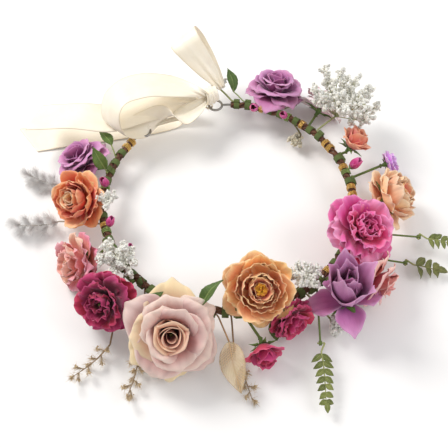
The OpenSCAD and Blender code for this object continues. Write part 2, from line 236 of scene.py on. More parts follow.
def ico(sub=1):
    t = (1 + 5**0.5) / 2
    V = [(-1, t, 0), (1, t, 0), (-1, -t, 0), (1, -t, 0), (0, -1, t), (0, 1, t), (0, -1, -t), (0, 1, -t), (t, 0, -1), (t, 0, 1), (-t, 0, -1), (-t, 0, 1)]
    F = [(0, 11, 5), (0, 5, 1), (0, 1, 7), (0, 7, 10), (0, 10, 11), (1, 5, 9), (5, 11, 4), (11, 10, 2), (10, 7, 6), (7, 1, 8), (3, 9, 4), (3, 4, 2), (3, 2, 6), (3, 6, 8), (3, 8, 9), (4, 9, 5), (2, 4, 11), (6, 2, 10), (8, 6, 7), (9, 8, 1)]
    V = [unit(v) for v in V]
    for _ in range(sub):
        mid, G = {}, []
        def m(a, b):
            k = (min(a, b), max(a, b))
            if k not in mid:
                mid[k] = len(V)
                V.append(unit(V[a] + V[b]))
            return mid[k]
        for a, b, c in F:
            ab, bc, ca = m(a, b), m(b, c), m(c, a)
            G += [(a, ab, ca), (b, bc, ab), (c, ca, bc), (ab, bc, ca)]
        F = G
    return np.array(V), np.array(F)


ICO0, ICO1, ICO2 = ico(0), ico(1), ico(2)


# ---------------------------------------------------------------- materials
class Mat:
    def __init__(self, name):
        self.m = bpy.data.materials.new(name)
        self.m.use_nodes = True
        self.nt = self.m.node_tree
        self.b = next(n for n in self.nt.nodes if n.type == "BSDF_PRINCIPLED")

    def node(self, kind, **kw):
        n = self.nt.nodes.new(kind)
        for k, v in kw.items():
            setattr(n, k, v)
        return n

    def put(self, sock, v):
        if hasattr(v, "links"):
            self.nt.links.new(v, sock)
        elif isinstance(v, (tuple, list)) and len(v) == 3 and sock.type == "RGBA":
            sock.default_value = (*v, 1)
        else:
            sock.default_value = v

    def set(self, name, v):
        self.put(self.b.inputs[name], v)
        return self

    def attr(self, name):
        return self.node("ShaderNodeAttribute", attribute_name=name).outputs["Fac"]

    def math(self, op, a, b=0.0, c=0.0, clamp=False):
        n = self.node("ShaderNodeMath", operation=op, use_clamp=clamp)
        self.put(n.inputs[0], a)
        self.put(n.inputs[1], b)
        self.put(n.inputs[2], c)
        return n.outputs[0]

    def mix(self, f, a, b, blend="MIX"):
        n = self.node("ShaderNodeMix", data_type="RGBA", blend_type=blend)
        self.put(n.inputs["Factor"], f)
        self.put(n.inputs[6], a)
        self.put(n.inputs[7], b)
        return n.outputs[2]

    def ramp(self, f, stops):
        n = self.node("ShaderNodeValToRGB")
        e = n.color_ramp.elements
        e[0].position, e[0].color = stops[0][0], (*stops[0][1], 1)
        e[1].position, e[1].color = stops[-1][0], (*stops[-1][1], 1)
        for p, c in stops[1:-1]:
            x = e.new(p)
            x.color = (*c, 1)
        self.put(n.inputs[0], f)
        return n.outputs[0]

    def vec(self, x, y, z=0.0):
        n = self.node("ShaderNodeCombineXYZ")
        for k, v in zip(n.inputs, (x, y, z)):
            self.put(k, v)
        return n.outputs[0]

    def obj(self):
        return self.node("ShaderNodeTexCoord").outputs["Object"]

    def noise(self, vec, scale, detail=3.0, rough=0.55):
        n = self.node("ShaderNodeTexNoise")
        self.put(n.inputs["Vector"], vec)
        n.inputs["Scale"].default_value = scale
        n.inputs["Detail"].default_value = detail
        n.inputs["Roughness"].default_value = rough
        return n.outputs[0]

    def voronoi(self, vec, scale, feature="F1"):
        n = self.node("ShaderNodeTexVoronoi", feature=feature)
        self.put(n.inputs["Vector"], vec)
        n.inputs["Scale"].default_value = scale
        return n.outputs[0]

    def bump(self, h, strength, dist):
        n = self.node("ShaderNodeBump")
        self.put(n.inputs["Height"], h)
        n.inputs["Strength"].default_value = strength
        n.inputs["Distance"].default_value = dist
        self.put(self.b.inputs["Normal"], n.outputs[0])


def lin(r, g, b):
    """sRGB 0..255 to the linear values that a colour socket takes."""
    f = lambda c: (c / 255 / 12.92) if c <= 10 else ((c / 255 + 0.055) / 1.055) ** 2.4
    return (f(r), f(g), f(b))


def weave_height(m, su, sv, pitch):
    """Over-under threads, pitch in mm, from the cloth's own coordinates."""
    k = TAU / pitch
    a = m.math("SINE", m.math("MULTIPLY", su, k))
    b = m.math("SINE", m.math("MULTIPLY", sv, k))
    return m.math("MULTIPLY", a, b)


def petal_mat(name, inner, outer, edge, edge_k=0.5, vein=0.25, back=None, rough=0.82, tint=None):
    """Dyed cloth with painted shade. inner and outer are colour runs from the petal's foot to its tip, for the middle
    of the flower and for its outside; their dark feet and darker middles are partly dye and partly painted shade deep
    in the flower.
    """
    m = Mat(name)
    pv, pu, pe, pr, ring = (m.attr(k) for k in ("pv", "pu", "pe", "pr", "ring"))
    su, sv = m.attr("su"), m.attr("sv")
    streak = m.noise(m.vec(m.math("MULTIPLY", pu, 9.0), m.math("MULTIPLY", pv, 1.3), m.math("MULTIPLY", pr, 37.0)), 1.0, 5.0, 0.6)
    cloud = m.noise(m.vec(m.math("MULTIPLY", pu, 1.6), m.math("MULTIPLY", pv, 1.6), m.math("MULTIPLY", pr, 91.0)), 1.0, 2.0)
    shift = m.math("MULTIPLY", m.math("SUBTRACT", cloud, 0.5), 0.9)
    t = m.math("ADD", pv, shift, clamp=True)
    # painted shade: the colour is darkest at the petal's foot and in the flower's middle (low ring); this is partly dye
    # and partly the shade deep in the flower
    c = m.mix(ring, m.ramp(t, inner), m.ramp(t, outer))
    # veins: darker dye that runs up the petal
    dark = m.mix(1.0, c, (0.55, 0.45, 0.5), "MULTIPLY")
    c = m.mix(m.math("MULTIPLY", m.math("SUBTRACT", streak, 0.42, clamp=True), vein * 4, clamp=True), c, dark)
    # each petal takes the dye a little differently
    hsv = m.node("ShaderNodeHueSaturation")
    m.put(hsv.inputs["Color"], c)
    m.put(hsv.inputs["Hue"], m.math("ADD", 0.5, m.math("MULTIPLY", m.math("SUBTRACT", pr, 0.5), 0.035)))
    m.put(hsv.inputs["Value"], m.math("ADD", 0.9, m.math("MULTIPLY", pr, 0.22)))
    c = hsv.outputs[0]
    if tint:
        f = m.math("MULTIPLY", m.math("GREATER_THAN", m.math("FRACT", m.math("MULTIPLY", pr, 7.31)), 1 - tint[1]), m.math("POWER", pv, 1.5))
        c = m.mix(m.math("MULTIPLY", f, m.math("MULTIPLY", ring, 1.0)), c, tint[0])
    # faded, slightly frayed edge
    fray = m.noise(m.vec(su, sv, pr), 1.6, 3.0)
    f = m.math("MULTIPLY", m.math("POWER", m.math("ADD", pe, m.math("MULTIPLY", m.math("SUBTRACT", fray, 0.5), 0.12), clamp=True), 5.0), edge_k, clamp=True)
    c = m.mix(f, c, edge)
    m.set("Base Color", c)
    m.set("Roughness", rough)
    m.set("Sheen Weight", 0.25)
    m.set("Sheen Roughness", 0.5)
    m.set("Subsurface Weight", 0.12)
    m.set("Subsurface Radius", (1.0, 0.5, 0.4))
    m.set("Subsurface Scale", 0.002)
    h = m.math("ADD", m.math("MULTIPLY", weave_height(m, su, sv, 0.5), 0.35), m.math("MULTIPLY", streak, 1.6))
    m.bump(h, 0.35, 0.0003)
    return m.m


# ---------------------------------------------------------------- petals
def petal(G, M, p, L, W, th, alpha, r0, z0, rho, seed, ring, prand, nu=16, nv=18, tip=0.0, rnd=0.3, foot=0.3, wide=0.6,
          curl=0.0, curl_top=0.0, ruffle=0.0, waves=3.0, twist=0.0, lumps=0.03, t=0.42, lean=0.0, fold=0.0):
    """One cloth petal. M, p: the flower's frame. L, W: length and width in mm. th: run of (v, angle from the flower's axis).
    rho: radius round which the petal is cupped, foot to tip. curl turns the side edges back, curl_top the upper edge."""
    g = np.random.default_rng(seed)
    v = np.linspace(0, 1, nv + 1)
    u = np.linspace(-1, 1, nu + 1)
    vv, uu = np.meshgrid(v, u, indexing="ij")
    tv, ta = zip(*th)
    ang = np.radians(np.interp(v, tv, ta))
    ang = np.convolve(np.pad(ang, 2, mode="edge"), np.ones(5) / 5, mode="valid")
    # outline
    f = np.where(v < wide, foot + (1 - foot) * np.sin(np.clip(v / wide, 0, 1) * math.pi / 2) ** 0.9, 1 - 0.22 * ((v - wide) / (1 - wide)) ** 2)
    hw = W / 2 * f
    top = 1 - rnd * np.abs(uu) ** 2.4 * smooth(0.25, 1, vv) + tip * np.exp(-((uu / 0.2) ** 2)) * vv**4
    s = np.clip(vv * top, 0, 1.35)
    # centre line, out to a little past the tip
    sm = np.linspace(0, 1.4, 80)
    am = np.interp(sm, v, ang)
    r = r0 + np.r_[0, np.cumsum(np.sin(am[:-1]) * L * (sm[1] - sm[0]))]
    z = z0 + np.r_[0, np.cumsum(np.cos(am[:-1]) * L * (sm[1] - sm[0]))]
    R, Z, A = np.interp(s, sm, r), np.interp(s, sm, z), np.interp(s, sm, am)
    rh = np.interp(s, [0, 0.5, 1], rho) if not np.isscalar(rho) else rho
    x = uu * np.interp(v, v, hw)[:, None]
    phi = x / rh
    lat = rh * np.sin(phi)
    dip = rh * (1 - np.cos(phi))
    # turn-back, waves and crumples, along the outward normal
    e = np.abs(uu)
    out = curl * e**4 * smooth(0.25, 0.85, vv) + curl_top * np.clip(vv, 0, 1) ** 7
    ph = g.uniform(0, TAU, 6)
    k1, k2 = waves * g.uniform(0.55, 1.1), waves * g.uniform(1.3, 2.1)
    out += ruffle * (0.75 * np.sin(k1 * math.pi * uu + ph[0]) + 0.35 * np.sin(k2 * math.pi * uu + ph[1])) * vv**3 + 0.5 * ruffle * np.sin(waves * 1.3 * math.pi * vv + ph[1]) * e**3 * vv
    for k in range(3):
        a, b = g.uniform(1, 3.2, 2)
        out += lumps * W * 0.35 * np.sin(a * uu * 1.6 + ph[2]) * np.sin(b * vv * 2.2 + ph[3 + k]) * vv
    out -= fold * (1 - e) ** 2 * smooth(0.1, 0.9, vv)
    nr, nz = np.cos(A), -np.sin(A)
    X = R + (out - dip) * nr
    Y = lat + lean * vv * W
    Zz = Z + (out - dip) * nz
    if twist:
        a = twist * vv
        X, Y = X * np.cos(a) - Y * np.sin(a), X * np.sin(a) + Y * np.cos(a)
    P = np.stack([X, Y, Zz], -1) @ rz(alpha).T
    P = P @ M.T + p
    ed = np.maximum(e**1.5, smooth(0.0, 1.0, vv) ** 2)
    thin = t * (1 - 0.45 * ed)
    V, Q = sheet_solid(P, thin)
    d = lambda a: np.concatenate([a.ravel(), a.ravel()])
    G.add(V, Q, pv=d(vv), pu=d(uu * 0.5 + 0.5), pe=d(np.maximum(e, vv**1.2)), pr=prand, ring=ring, su=d(x), sv=d(vv * L))


def bloom(name, kind, D, pos, yaw, pitch, mats, seed, roll=0.0, nodes=(), slots=(), lift=0.0, squash=1.0, q=1.0):
    """A whole flower of one kind. pos is its foot in mm, D its diameter."""
    g = np.random.default_rng(seed)
    M = aim(yaw, pitch, roll)
    M = M @ np.diag([1, squash, 1])
    p = np.array(pos, float) + lift * axis(yaw, pitch)
    H, O = Geo(), Geo()
    nu, nv = int(16 * q), int(18 * q)

    def ringof(G, n, a0, da, L, W, th, r0, z0, rho, ring, **kw):
        for k in range(n):
            j = g.normal(0, 1, 6)
            thj = [(v, a + 4.5 * j[0] * (0.4 + v)) for v, a in th]
            petal(G, M, p, D * L * (1 + 0.05 * j[1]), D * W * (1 + 0.06 * j[2]), thj, a0 + da * k + 0.09 * j[3], D * r0, D * z0 + 0.012 * D * j[4],
                  [D * x for x in rho], int(g.integers(1 << 30)), ring, float(g.uniform()), nu=nu, nv=nv,
                  **{a: (b * D if a in ("curl", "curl_top", "ruffle", "fold") else b) for a, b in kw.items()})

    if kind == "rose":      # high centre, outer petals turned back to points
        for k in range(7):
            ringof(H, 1, k * GOLD, 0, 0.36 + 0.012 * k, 0.26 + 0.045 * k, [(0, 22), (0.4, 4), (0.8, -9 + k), (1, 4 + 4 * k)], 0.008 + 0.011 * k, 0.02,
                   [0.035 + 0.016 * k, 0.055 + 0.02 * k, 0.05 + 0.026 * k], 0.0, rnd=0.2, foot=0.5, curl=0.008 + 0.004 * k, curl_top=0.01)
        ringof(H, 3, 1.1, TAU / 3, 0.44, 0.52, [(0, 40), (0.35, 12), (0.75, 4), (1, 45)], 0.03, 0.0, [0.1, 0.19, 0.24], 0.3, rnd=0.22, foot=0.4, curl=0.05, curl_top=0.035, tip=0.03)
        ringof(O, 5, 0.4, TAU / 5, 0.49, 0.6, [(0, 58), (0.4, 24), (0.75, 30), (1, 88)], 0.03, 0.0, [0.14, 0.27, 0.4], 0.55, rnd=0.24, curl=0.07, curl_top=0.03, tip=0.05, ruffle=0.012)
        ringof(O, 5, 1.0, TAU / 5, 0.52, 0.66, [(0, 72), (0.4, 48), (0.75, 58), (1, 112)], 0.03, -0.01, [0.18, 0.36, 0.6], 0.8, rnd=0.26, curl=0.09, curl_top=0.03, tip=0.07, ruffle=0.015)
        ringof(O, 6, 0.1, TAU / 6, 0.53, 0.62, [(0, 86), (0.4, 74), (0.75, 84), (1, 128)], 0.03, -0.03, [0.2, 0.5, 0.8], 1.0, rnd=0.3, curl=0.08, curl_top=0.02, tip=0.1, ruffle=0.02)
    elif kind == "cabbage":  # many round petals closing over the middle
        for k in range(6):
            ringof(H, 1, k * GOLD, 0, 0.26 + 0.01 * k, 0.24 + 0.03 * k, [(0, 30), (0.5, 10), (1, 0 + 5 * k)], 0.01 + 0.012 * k, 0.1, [0.05, 0.07 + 0.015 * k, 0.08 + 0.02 * k], 0.05, rnd=0.25, foot=0.5, ruffle=0.01, curl=0.01)
        ringof(O, 5, 0.7, TAU / 5, 0.37, 0.36, [(0, 60), (0.4, 16), (0.8, -8), (1, -2)], 0.05, 0.05, [0.1, 0.15, 0.14], 0.2, rnd=0.3, curl=0.02, ruffle=0.018)
        ringof(O, 6, 0.2, TAU / 6, 0.43, 0.42, [(0, 75), (0.35, 30), (0.75, -8), (1, -6)], 0.07, 0.02, [0.14, 0.2, 0.19], 0.45, rnd=0.3, curl=0.015, ruffle=0.016)
        ringof(O, 7, 0.9, TAU / 7, 0.48, 0.46, [(0, 90), (0.35, 48), (0.75, 2), (1, 0)], 0.08, -0.01, [0.2, 0.26, 0.26], 0.7, rnd=0.3, curl=0.02, ruffle=0.02)
        ringof(O, 7, 0.4, TAU / 7, 0.5, 0.5, [(0, 105), (0.35, 66), (0.75, 22), (1, 28)], 0.08, -0.03, [0.24, 0.34, 0.38], 0.88, rnd=0.32, curl=0.04, curl_top=0.02, ruffle=0.02)
        ringof(O, 6, 0.0, TAU / 6, 0.47, 0.5, [(0, 112), (0.35, 88), (0.75, 58), (1, 78)], 0.07, -0.05, [0.3, 0.5, 0.6], 1.0, rnd=0.34, curl=0.05, curl_top=0.03, ruffle=0.02)
    elif kind == "peony":   # wide, wavy, loosely crumpled
        ringof(H, 6, 0.3, GOLD, 0.27, 0.3, [(0, 25), (0.5, 4), (1, 10)], 0.02, 0.04, [0.07, 0.1, 0.12], 0.0, rnd=0.2, ruffle=0.03, curl=0.02, lumps=0.07, foot=0.5)
        ringof(O, 6, 0.9, TAU / 6, 0.37, 0.42, [(0, 50), (0.4, 20), (1, 6)], 0.04, 0.02, [0.14, 0.2, 0.28], 0.3, rnd=0.2, ruffle=0.035, curl=0.03, lumps=0.07)
        ringof(O, 6, 0.4, TAU / 6, 0.45, 0.5, [(0, 68), (0.4, 40), (0.8, 24), (1, 40)], 0.05, 0.0, [0.2, 0.3, 0.4], 0.6, rnd=0.2, ruffle=0.04, curl=0.04, curl_top=0.02, lumps=0.07)
        ringof(O, 7, 0.1, TAU / 7, 0.48, 0.55, [(0, 84), (0.4, 64), (0.8, 52), (1, 74)], 0.05, -0.02, [0.3, 0.45, 0.6], 0.85, rnd=0.22, ruffle=0.04, curl=0.04, curl_top=0.03, lumps=0.06)
        ringof(O, 6, 0.6, TAU / 6, 0.47, 0.55, [(0, 98), (0.4, 86), (0.8, 84), (1, 104)], 0.04, -0.04, [0.4, 0.6, 0.8], 1.0, rnd=0.25, ruffle=0.035, curl=0.03, lumps=0.05)
    elif kind == "tulip":   # tall pointed petals held upright
        ringof(H, 3, 0.2, TAU / 3, 0.78, 0.42, [(0, 20), (0.3, 2), (0.8, -4), (1, 2)], 0.03, 0.0, [0.1, 0.13, 0.14], 0.0, rnd=0.3, tip=0.1, curl=0.03, foot=0.4, wide=0.5)
        ringof(O, 4, 0.9, TAU / 4, 0.86, 0.6, [(0, 38), (0.3, 8), (0.8, 0), (1, 14)], 0.05, -0.01, [0.16, 0.22, 0.26], 0.4, rnd=0.34, tip=0.12, curl=0.06, wide=0.5, ruffle=0.012)
        ringof(O, 5, 0.3, TAU / 5, 0.88, 0.7, [(0, 52), (0.3, 20), (0.8, 6), (1, 26)], 0.06, -0.02, [0.2, 0.3, 0.36], 0.75, rnd=0.38, tip=0.14, curl=0.08, wide=0.5, ruffle=0.015)
        ringof(O, 4, 0.8, TAU / 4, 0.6, 0.56, [(0, 92), (0.3, 86), (0.8, 98), (1, 122)], 0.05, -0.04, [0.24, 0.4, 0.6], 1.0, rnd=0.36, tip=0.14, curl=0.06, ruffle=0.03)
    elif kind == "bud":     # half open
        for k in range(5):
            ringof(H, 1, k * GOLD, 0, 0.5, 0.42 + 0.05 * k, [(0, 22), (0.5, 0), (1, -10 + 3 * k)], 0.02 + 0.012 * k, 0.0, [0.08, 0.12 + 0.02 * k, 0.12 + 0.02 * k], 0.1, rnd=0.25, curl=0.02)
        ringof(O, 5, 0.3, TAU / 5, 0.56, 0.66, [(0, 55), (0.35, 18), (0.8, 4), (1, 30)], 0.04, -0.02, [0.16, 0.25, 0.32], 0.7, rnd=0.28, curl=0.06, tip=0.06, ruffle=0.015)
        ringof(O, 5, 0.9, TAU / 5, 0.56, 0.7, [(0, 72), (0.35, 44), (0.8, 42), (1, 84)], 0.04, -0.04, [0.2, 0.36, 0.5], 1.0, rnd=0.3, curl=0.07, tip=0.08, ruffle=0.02)
    if O.n == 0:
        O = None
    objs = []
    hn, on = (nodes + (None, None))[:2] if len(nodes) == 2 else (None, nodes[0] if nodes else None)
    if nodes and len(nodes) == 2:
        objs.append(H.obj(name + "_heart_cloth", mats[0], nodes=(nodes[1],), slot=slots[1]))
        objs.append(O.obj(name + "_petal_cloth", mats[1], nodes=(nodes[0],), slot=slots[0]))
    else:
        objs.append(H.obj(name + "_inner_cloth", mats[0], nodes=nodes, slot=slots[0] if slots else None))
        objs.append(O.obj(name + "_outer_cloth", mats[1], nodes=nodes, slot=slots[0] if slots else None))
    return objs


# ---------------------------------------------------------------- the hoop
HR, WR = 96.0, 2.6
END_L, END_R = 118.0, 64.0 + 360


def hoop(u, rad=0.0, f=0.0):
    """A point beside the hoop's line: hoop angle u, rad mm out from it on side f (degrees)."""
    u, f = np.radians(u), np.radians(f)
    R = HR + rad * np.cos(f)
    return np.stack([R * np.cos(u), R * np.sin(u), rad * np.sin(f) + 0 * u], -1)


def elbow(u, f):
    return hoop(u, 3.8, f)


rng = np.random.default_rng(11)

# vine: three twisted strands with bark ridges, and a finer tendril round them
bark = Mat("rattan_bark")
sv, su, pr = bark.attr("sv"), bark.attr("su"), bark.attr("pr")
fib = bark.noise(bark.vec(bark.math("MULTIPLY", su, 9.0), bark.math("MULTIPLY", sv, 0.25), pr), 1.0, 6.0, 0.65)
blot = bark.noise(bark.vec(sv, su, pr), 0.35, 3.0)
c = bark.ramp(fib, [(0.3, lin(44, 26, 18)), (0.52, lin(104, 64, 42)), (0.75, lin(160, 112, 78))])
c = bark.mix(bark.math("MULTIPLY", blot, 0.6), c, lin(74, 44, 30))
bark.set("Base Color", c).set("Roughness", 0.78)
bark.bump(bark.math("ADD", fib, bark.math("MULTIPLY", bark.math("SINE", bark.math("MULTIPLY", sv, 2.1)), 0.12)), 0.8, 0.0006)

G = Geo()
arc = np.linspace(END_L + 0.6, END_R - 0.6, 1500)
along = np.radians(arc - END_L) * HR
for k in range(3):
    ph = 360 * k / 3
    wob = 0.25 * np.sin(along * 0.17 + k * 2.1) + 0.15 * np.sin(along * 0.41 + k)
    P = hoop(arc, 1.45 + wob, ph + along / 17.0 * 360)
    rr = 1.28 + 0.16 * np.sin(along * 0.3 + k * 1.7) + 0.08 * np.sin(along * 1.1 + k)
    V, Q, T, sv_, su_ = tube(P, rr, 9)
    G.add(V, Q, T, sv=sv_, su=su_, pr=0.13 + k * 0.31)
P = hoop(arc, 2.75 + 0.3 * np.sin(along * 0.23), -along / 31.0 * 360)
V, Q, T, sv_, su_ = tube(P, 0.5 + 0.1 * np.sin(along * 0.7), 7)
G.add(V, Q, T, sv=sv_, su=su_, pr=0.91)
G.obj("vine_strands", bark.m, nodes=("vine_wrap",), slot="rattan")

# gold wire: a few tight turns at each place
gold = Mat("gold_thread")
sv, su = gold.attr("sv"), gold.attr("su")
tw = gold.math("SINE", gold.math("MULTIPLY", gold.math("ADD", sv, gold.math("MULTIPLY", su, 0.6)), 9.0))
gold.set("Base Color", gold.mix(gold.math("MULTIPLY_ADD", tw, 0.3, 0.5), lin(214, 160, 66), lin(255, 222, 140))).set("Metallic", 1.0).set("Roughness", 0.28)
gold.bump(tw, 0.5, 0.0002)
G = Geo()
RINGS = [119.6, 123.5, 170, 215.5, 218.6, 234, 293, 321, 324.5, 337, 341, 353, 366, 369.4, 385.5, 408]
for n, u in enumerate(RINGS):
    turns = 4.5
    t = np.linspace(0, 1, 110)
    P = hoop(u + (t - 0.5) * 2.4, 3.35 + 0.08 * np.sin(9 * t + n), 360 * turns * t + 70 * n)
    V, Q, T, sv_, su_ = tube(P, 0.3, 7)
    G.add(V, Q, T, sv=sv_, su=su_)
G.obj("gold_wire_turns", gold.m, nodes=("gold_binding_wire",), slot="gold_wire")

# steel wire, stem tape and taped stems keep their shape and get better finishes
steel = Mat("steel_wire_finish")
o = steel.obj()
steel.set("Base Color", steel.mix(steel.noise(o, 220.0), lin(122, 118, 112), lin(188, 186, 182))).set("Metallic", 1.0).set("Roughness", 0.34)
steel.bump(steel.noise(o, 900.0), 0.2, 0.0002)


def taped(name, a, b):
    m = Mat(name)
    o = m.obj()
    crepe = m.noise(o, 1500.0, 4.0, 0.7)
    m.set("Base Color", m.mix(m.noise(o, 130.0, 4.0), a, b)).set("Roughness", 0.85)
    m.bump(crepe, 0.6, 0.0003)
    return m.m


tape_m = taped("floral_tape_finish", lin(54, 72, 34), lin(104, 118, 62))
stem_m = taped("stem_finish", lin(62, 84, 40), lin(120, 134, 70))


def finish_node(node, mat):
    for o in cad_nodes(node):
        for k in range(max(1, len(o.material_slots))):
            if len(o.material_slots) == 0:
                o.data.materials.append(mat)
            else:
                o.material_slots[k].material = mat


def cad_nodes(node):
    o = frame["nodes"][node]
    return [o] if o.type == "MESH" else [c for c in o.children_recursive if c.type == "MESH"]


finish_node("hoop_wire", steel.m)
finish_node("stem_tape", tape_m)
finish_node("flower_stems", stem_m)


def stem_line(k_u, k_f, q, r=0.8, n=16):
    a = [elbow(k_u - 3.4, k_f), elbow(k_u - 1.6, k_f), elbow(k_u, k_f)]
    q = np.asarray(q, float)
    e = a[-1]
    mid = e + (q - e) * 0.5 + np.array([0, 0, 0.03 * np.linalg.norm(q - e)])
    return catmull([*a, mid, q], n)


BOUND = [[377, 60], [391.5, -75], [186, 100], [162, 150], [274, 110], [279.5, -60], [423, 70], [147.5, -60], [167.5, -60],
         [207, -70], [195.5, -40], [246, -60], [284.6, -30], [318, -30], [306, -40], [240.5, -50],
         [417.5, 40], [142, 75], [213, 30], [231, 60], [263, -50], [400.5, -30], [130, -30]]

# ---------------------------------------------------------------- the flowers
# place: x, y, height of the foot, heading, lift, diameter
PLACE = [
    (-88, 86, -10, 130, 55, 42), (-104, 43, 5, -160, 50, 44), (-120, -3, -6.2, 180, 28, 46), (-115, -46, 5, -145, 40, 46),
    (-84, -86, 4, -105, 54, 62), (-17, -86, 12, -110, 60, 52), (-3, -107, -4, -80, 5, 34), (38, -114, 1, 90, 86, 44),
    (64, -107, -2, -58, -5, 38), (72, -74, 11, -60, 66, 52), (112, -52, 0, -22, 40, 46), (113, 57, -9.5, 27, 30, 38),
    (83, 83, -3, 45, 70, 46), (-29, -118, -7.8, -100, 0, 28), (110, 3, 3, 10, 50, 30), (132, -20, -5, -10, 10, 20)]

C = lin
# petal colours: the dark feet of each run, and the darker heart materials, are partly dye and partly painted shade deep
# in the flower
mauve_o = petal_mat("mauve_cloth_dye", [(0, C(96, 24, 90)), (0.5, C(150, 60, 130)), (1, C(190, 110, 170))], [(0, C(120, 36, 104)), (0.45, C(176, 88, 150)), (1, C(204, 132, 182))], C(232, 180, 216), 0.6)
mauve_h = petal_mat("mauve_heart_dye_and_shade", [(0, C(70, 14, 60)), (0.6, C(118, 34, 92)), (1, C(176, 90, 150))], [(0, C(110, 30, 80)), (1, C(190, 110, 170))], C(214, 150, 196), 0.5)
orange_o = petal_mat("orange_cloth_dye", [(0, C(196, 30, 24)), (0.5, C(226, 62, 40)), (1, C(240, 112, 70))], [(0, C(206, 46, 32)), (0.45, C(236, 104, 58)), (1, C(246, 150, 96))], C(252, 206, 160), 0.45, tint=(C(250, 198, 150), 0.25))
orange_h = petal_mat("cream_heart_dye", [(0, C(224, 120, 70)), (0.6, C(246, 186, 136)), (1, C(252, 216, 176))], [(0, C(226, 84, 52)), (1, C(240, 130, 80))], C(254, 226, 190), 0.5)
pinkp_o = petal_mat("peach_pink_cloth_dye", [(0, C(226, 90, 110)), (0.5, C(248, 166, 136)), (1, C(254, 210, 168))], [(0, C(246, 160, 120)), (0.5, C(248, 170, 160)), (1, C(238, 120, 160))], C(250, 200, 210), 0.4, tint=(C(246, 214, 160), 0.3))
pinkp_h = petal_mat("pink_heart_dye_and_shade", [(0, C(190, 30, 90)), (0.6, C(226, 90, 120)), (1, C(246, 190, 150))], [(0, C(220, 80, 110)), (1, C(246, 180, 150))], C(250, 210, 190), 0.5)
burg_o = petal_mat("burgundy_cloth_dye", [(0, C(70, 2, 26)), (0.5, C(112, 6, 44)), (1, C(158, 16, 70))], [(0, C(80, 3, 30)), (0.45, C(142, 10, 60)), (1, C(184, 26, 86))], C(226, 90, 144), 0.35)
burg_h = petal_mat("burgundy_dye_and_painted_shade", [(0, C(56, 2, 22)), (0.6, C(94, 6, 38)), (1, C(140, 16, 66))], [(0, C(90, 5, 35)), (1, C(170, 24, 84))], C(200, 60, 120), 0.4)
dusty_o = petal_mat("dusty_cloth_dye", [(0, C(150, 70, 84)), (0.45, C(210, 140, 138)), (1, C(232, 186, 178))], [(0, C(170, 96, 110)), (0.35, C(218, 166, 160)), (1, C(234, 202, 196))], C(248, 226, 206), 0.55, tint=(C(244, 214, 150), 0.28))
dusty_h = petal_mat("dusty_heart_dye_and_shade", [(0, C(128, 46, 58)), (0.5, C(208, 118, 104)), (1, C(238, 180, 152))], [(0, C(150, 80, 90)), (1, C(230, 180, 160))], C(250, 218, 186), 0.6)
cab_o = petal_mat("peach_cloth_dye", [(0, C(232, 96, 74)), (0.5, C(246, 142, 96)), (1, C(252, 184, 126))], [(0, C(240, 128, 76)), (0.45, C(254, 180, 112)), (1, C(255, 204, 142))], C(255, 222, 172), 0.6)
cab_h = petal_mat("peach_inner_dye", [(0, C(214, 80, 90)), (0.6, C(236, 120, 100)), (1, C(248, 170, 120))], [(0, C(226, 90, 80)), (1, C(246, 160, 110))], C(254, 210, 160), 0.6)
crim_o = petal_mat("crimson_cloth_dye", [(0, C(120, 6, 46)), (0.5, C(176, 16, 68)), (1, C(206, 40, 96))], [(0, C(140, 8, 54)), (0.45, C(192, 20, 80)), (1, C(216, 56, 112))], C(236, 110, 154), 0.4)
crim_h = petal_mat("crimson_dye_and_painted_shade", [(0, C(80, 4, 30)), (0.6, C(140, 10, 50)), (1, C(190, 24, 78))], [(0, C(120, 6, 46)), (1, C(200, 36, 90))], C(224, 90, 130), 0.4)
coral_o = petal_mat("coral_cloth_dye", [(0, C(206, 50, 70)), (0.5, C(226, 92, 100)), (1, C(240, 150, 150))], [(0, C(214, 60, 78)), (0.45, C(230, 106, 110)), (1, C(244, 176, 170))], C(252, 222, 210), 0.6, vein=0.45)
coral_h = petal_mat("coral_heart_dye_and_shade", [(0, C(170, 20, 50)), (0.6, C(214, 66, 84)), (1, C(238, 140, 140))], [(0, C(190, 40, 60)), (1, C(236, 130, 130))], C(250, 210, 200), 0.5)
hot_o = petal_mat("hot_pink_cloth_dye", [(0, C(170, 4, 78)), (0.5, C(224, 20, 116)), (1, C(240, 60, 146))], [(0, C(180, 4, 84)), (0.45, C(230, 26, 124)), (1, C(244, 84, 162))], C(250, 166, 208), 0.6, tint=(C(244, 176, 214), 0.3))
hot_h = petal_mat("hot_pink_dye_and_painted_shade", [(0, C(150, 4, 70)), (0.6, C(200, 16, 106)), (1, C(230, 60, 140))], [(0, C(180, 10, 86)), (1, C(232, 70, 146))], C(246, 140, 190), 0.5)
peachl_o = petal_mat("peach_light_cloth_dye", [(0, C(232, 120, 70)), (0.5, C(244, 160, 108)), (1, C(250, 196, 150))], [(0, C(238, 140, 84)), (0.45, C(248, 182, 132)), (1, C(252, 208, 166))], C(255, 230, 200), 0.6)
pale_o = petal_mat("pale_pink_cloth_dye", [(0, C(206, 140, 160)), (0.5, C(230, 186, 194)), (1, C(240, 212, 214))], [(0, C(214, 156, 172)), (0.45, C(234, 200, 206)), (1, C(244, 222, 224))], C(252, 240, 240), 0.6)
bud_o = petal_mat("coral_bud_cloth_dye", [(0, C(180, 30, 90)), (0.5, C(226, 100, 100)), (1, C(240, 140, 112))], [(0, C(196, 44, 100)), (0.35, C(230, 110, 104)), (1, C(240, 150, 120))], C(250, 200, 170), 0.5)
viol_o = petal_mat("violet_cloth_dye", [(0, C(180, 80, 210)), (0.6, C(226, 140, 242)), (1, C(240, 190, 250))], [(0, C(190, 90, 216)), (0.5, C(232, 150, 244)), (1, C(244, 200, 252))], C(250, 224, 255), 0.5)
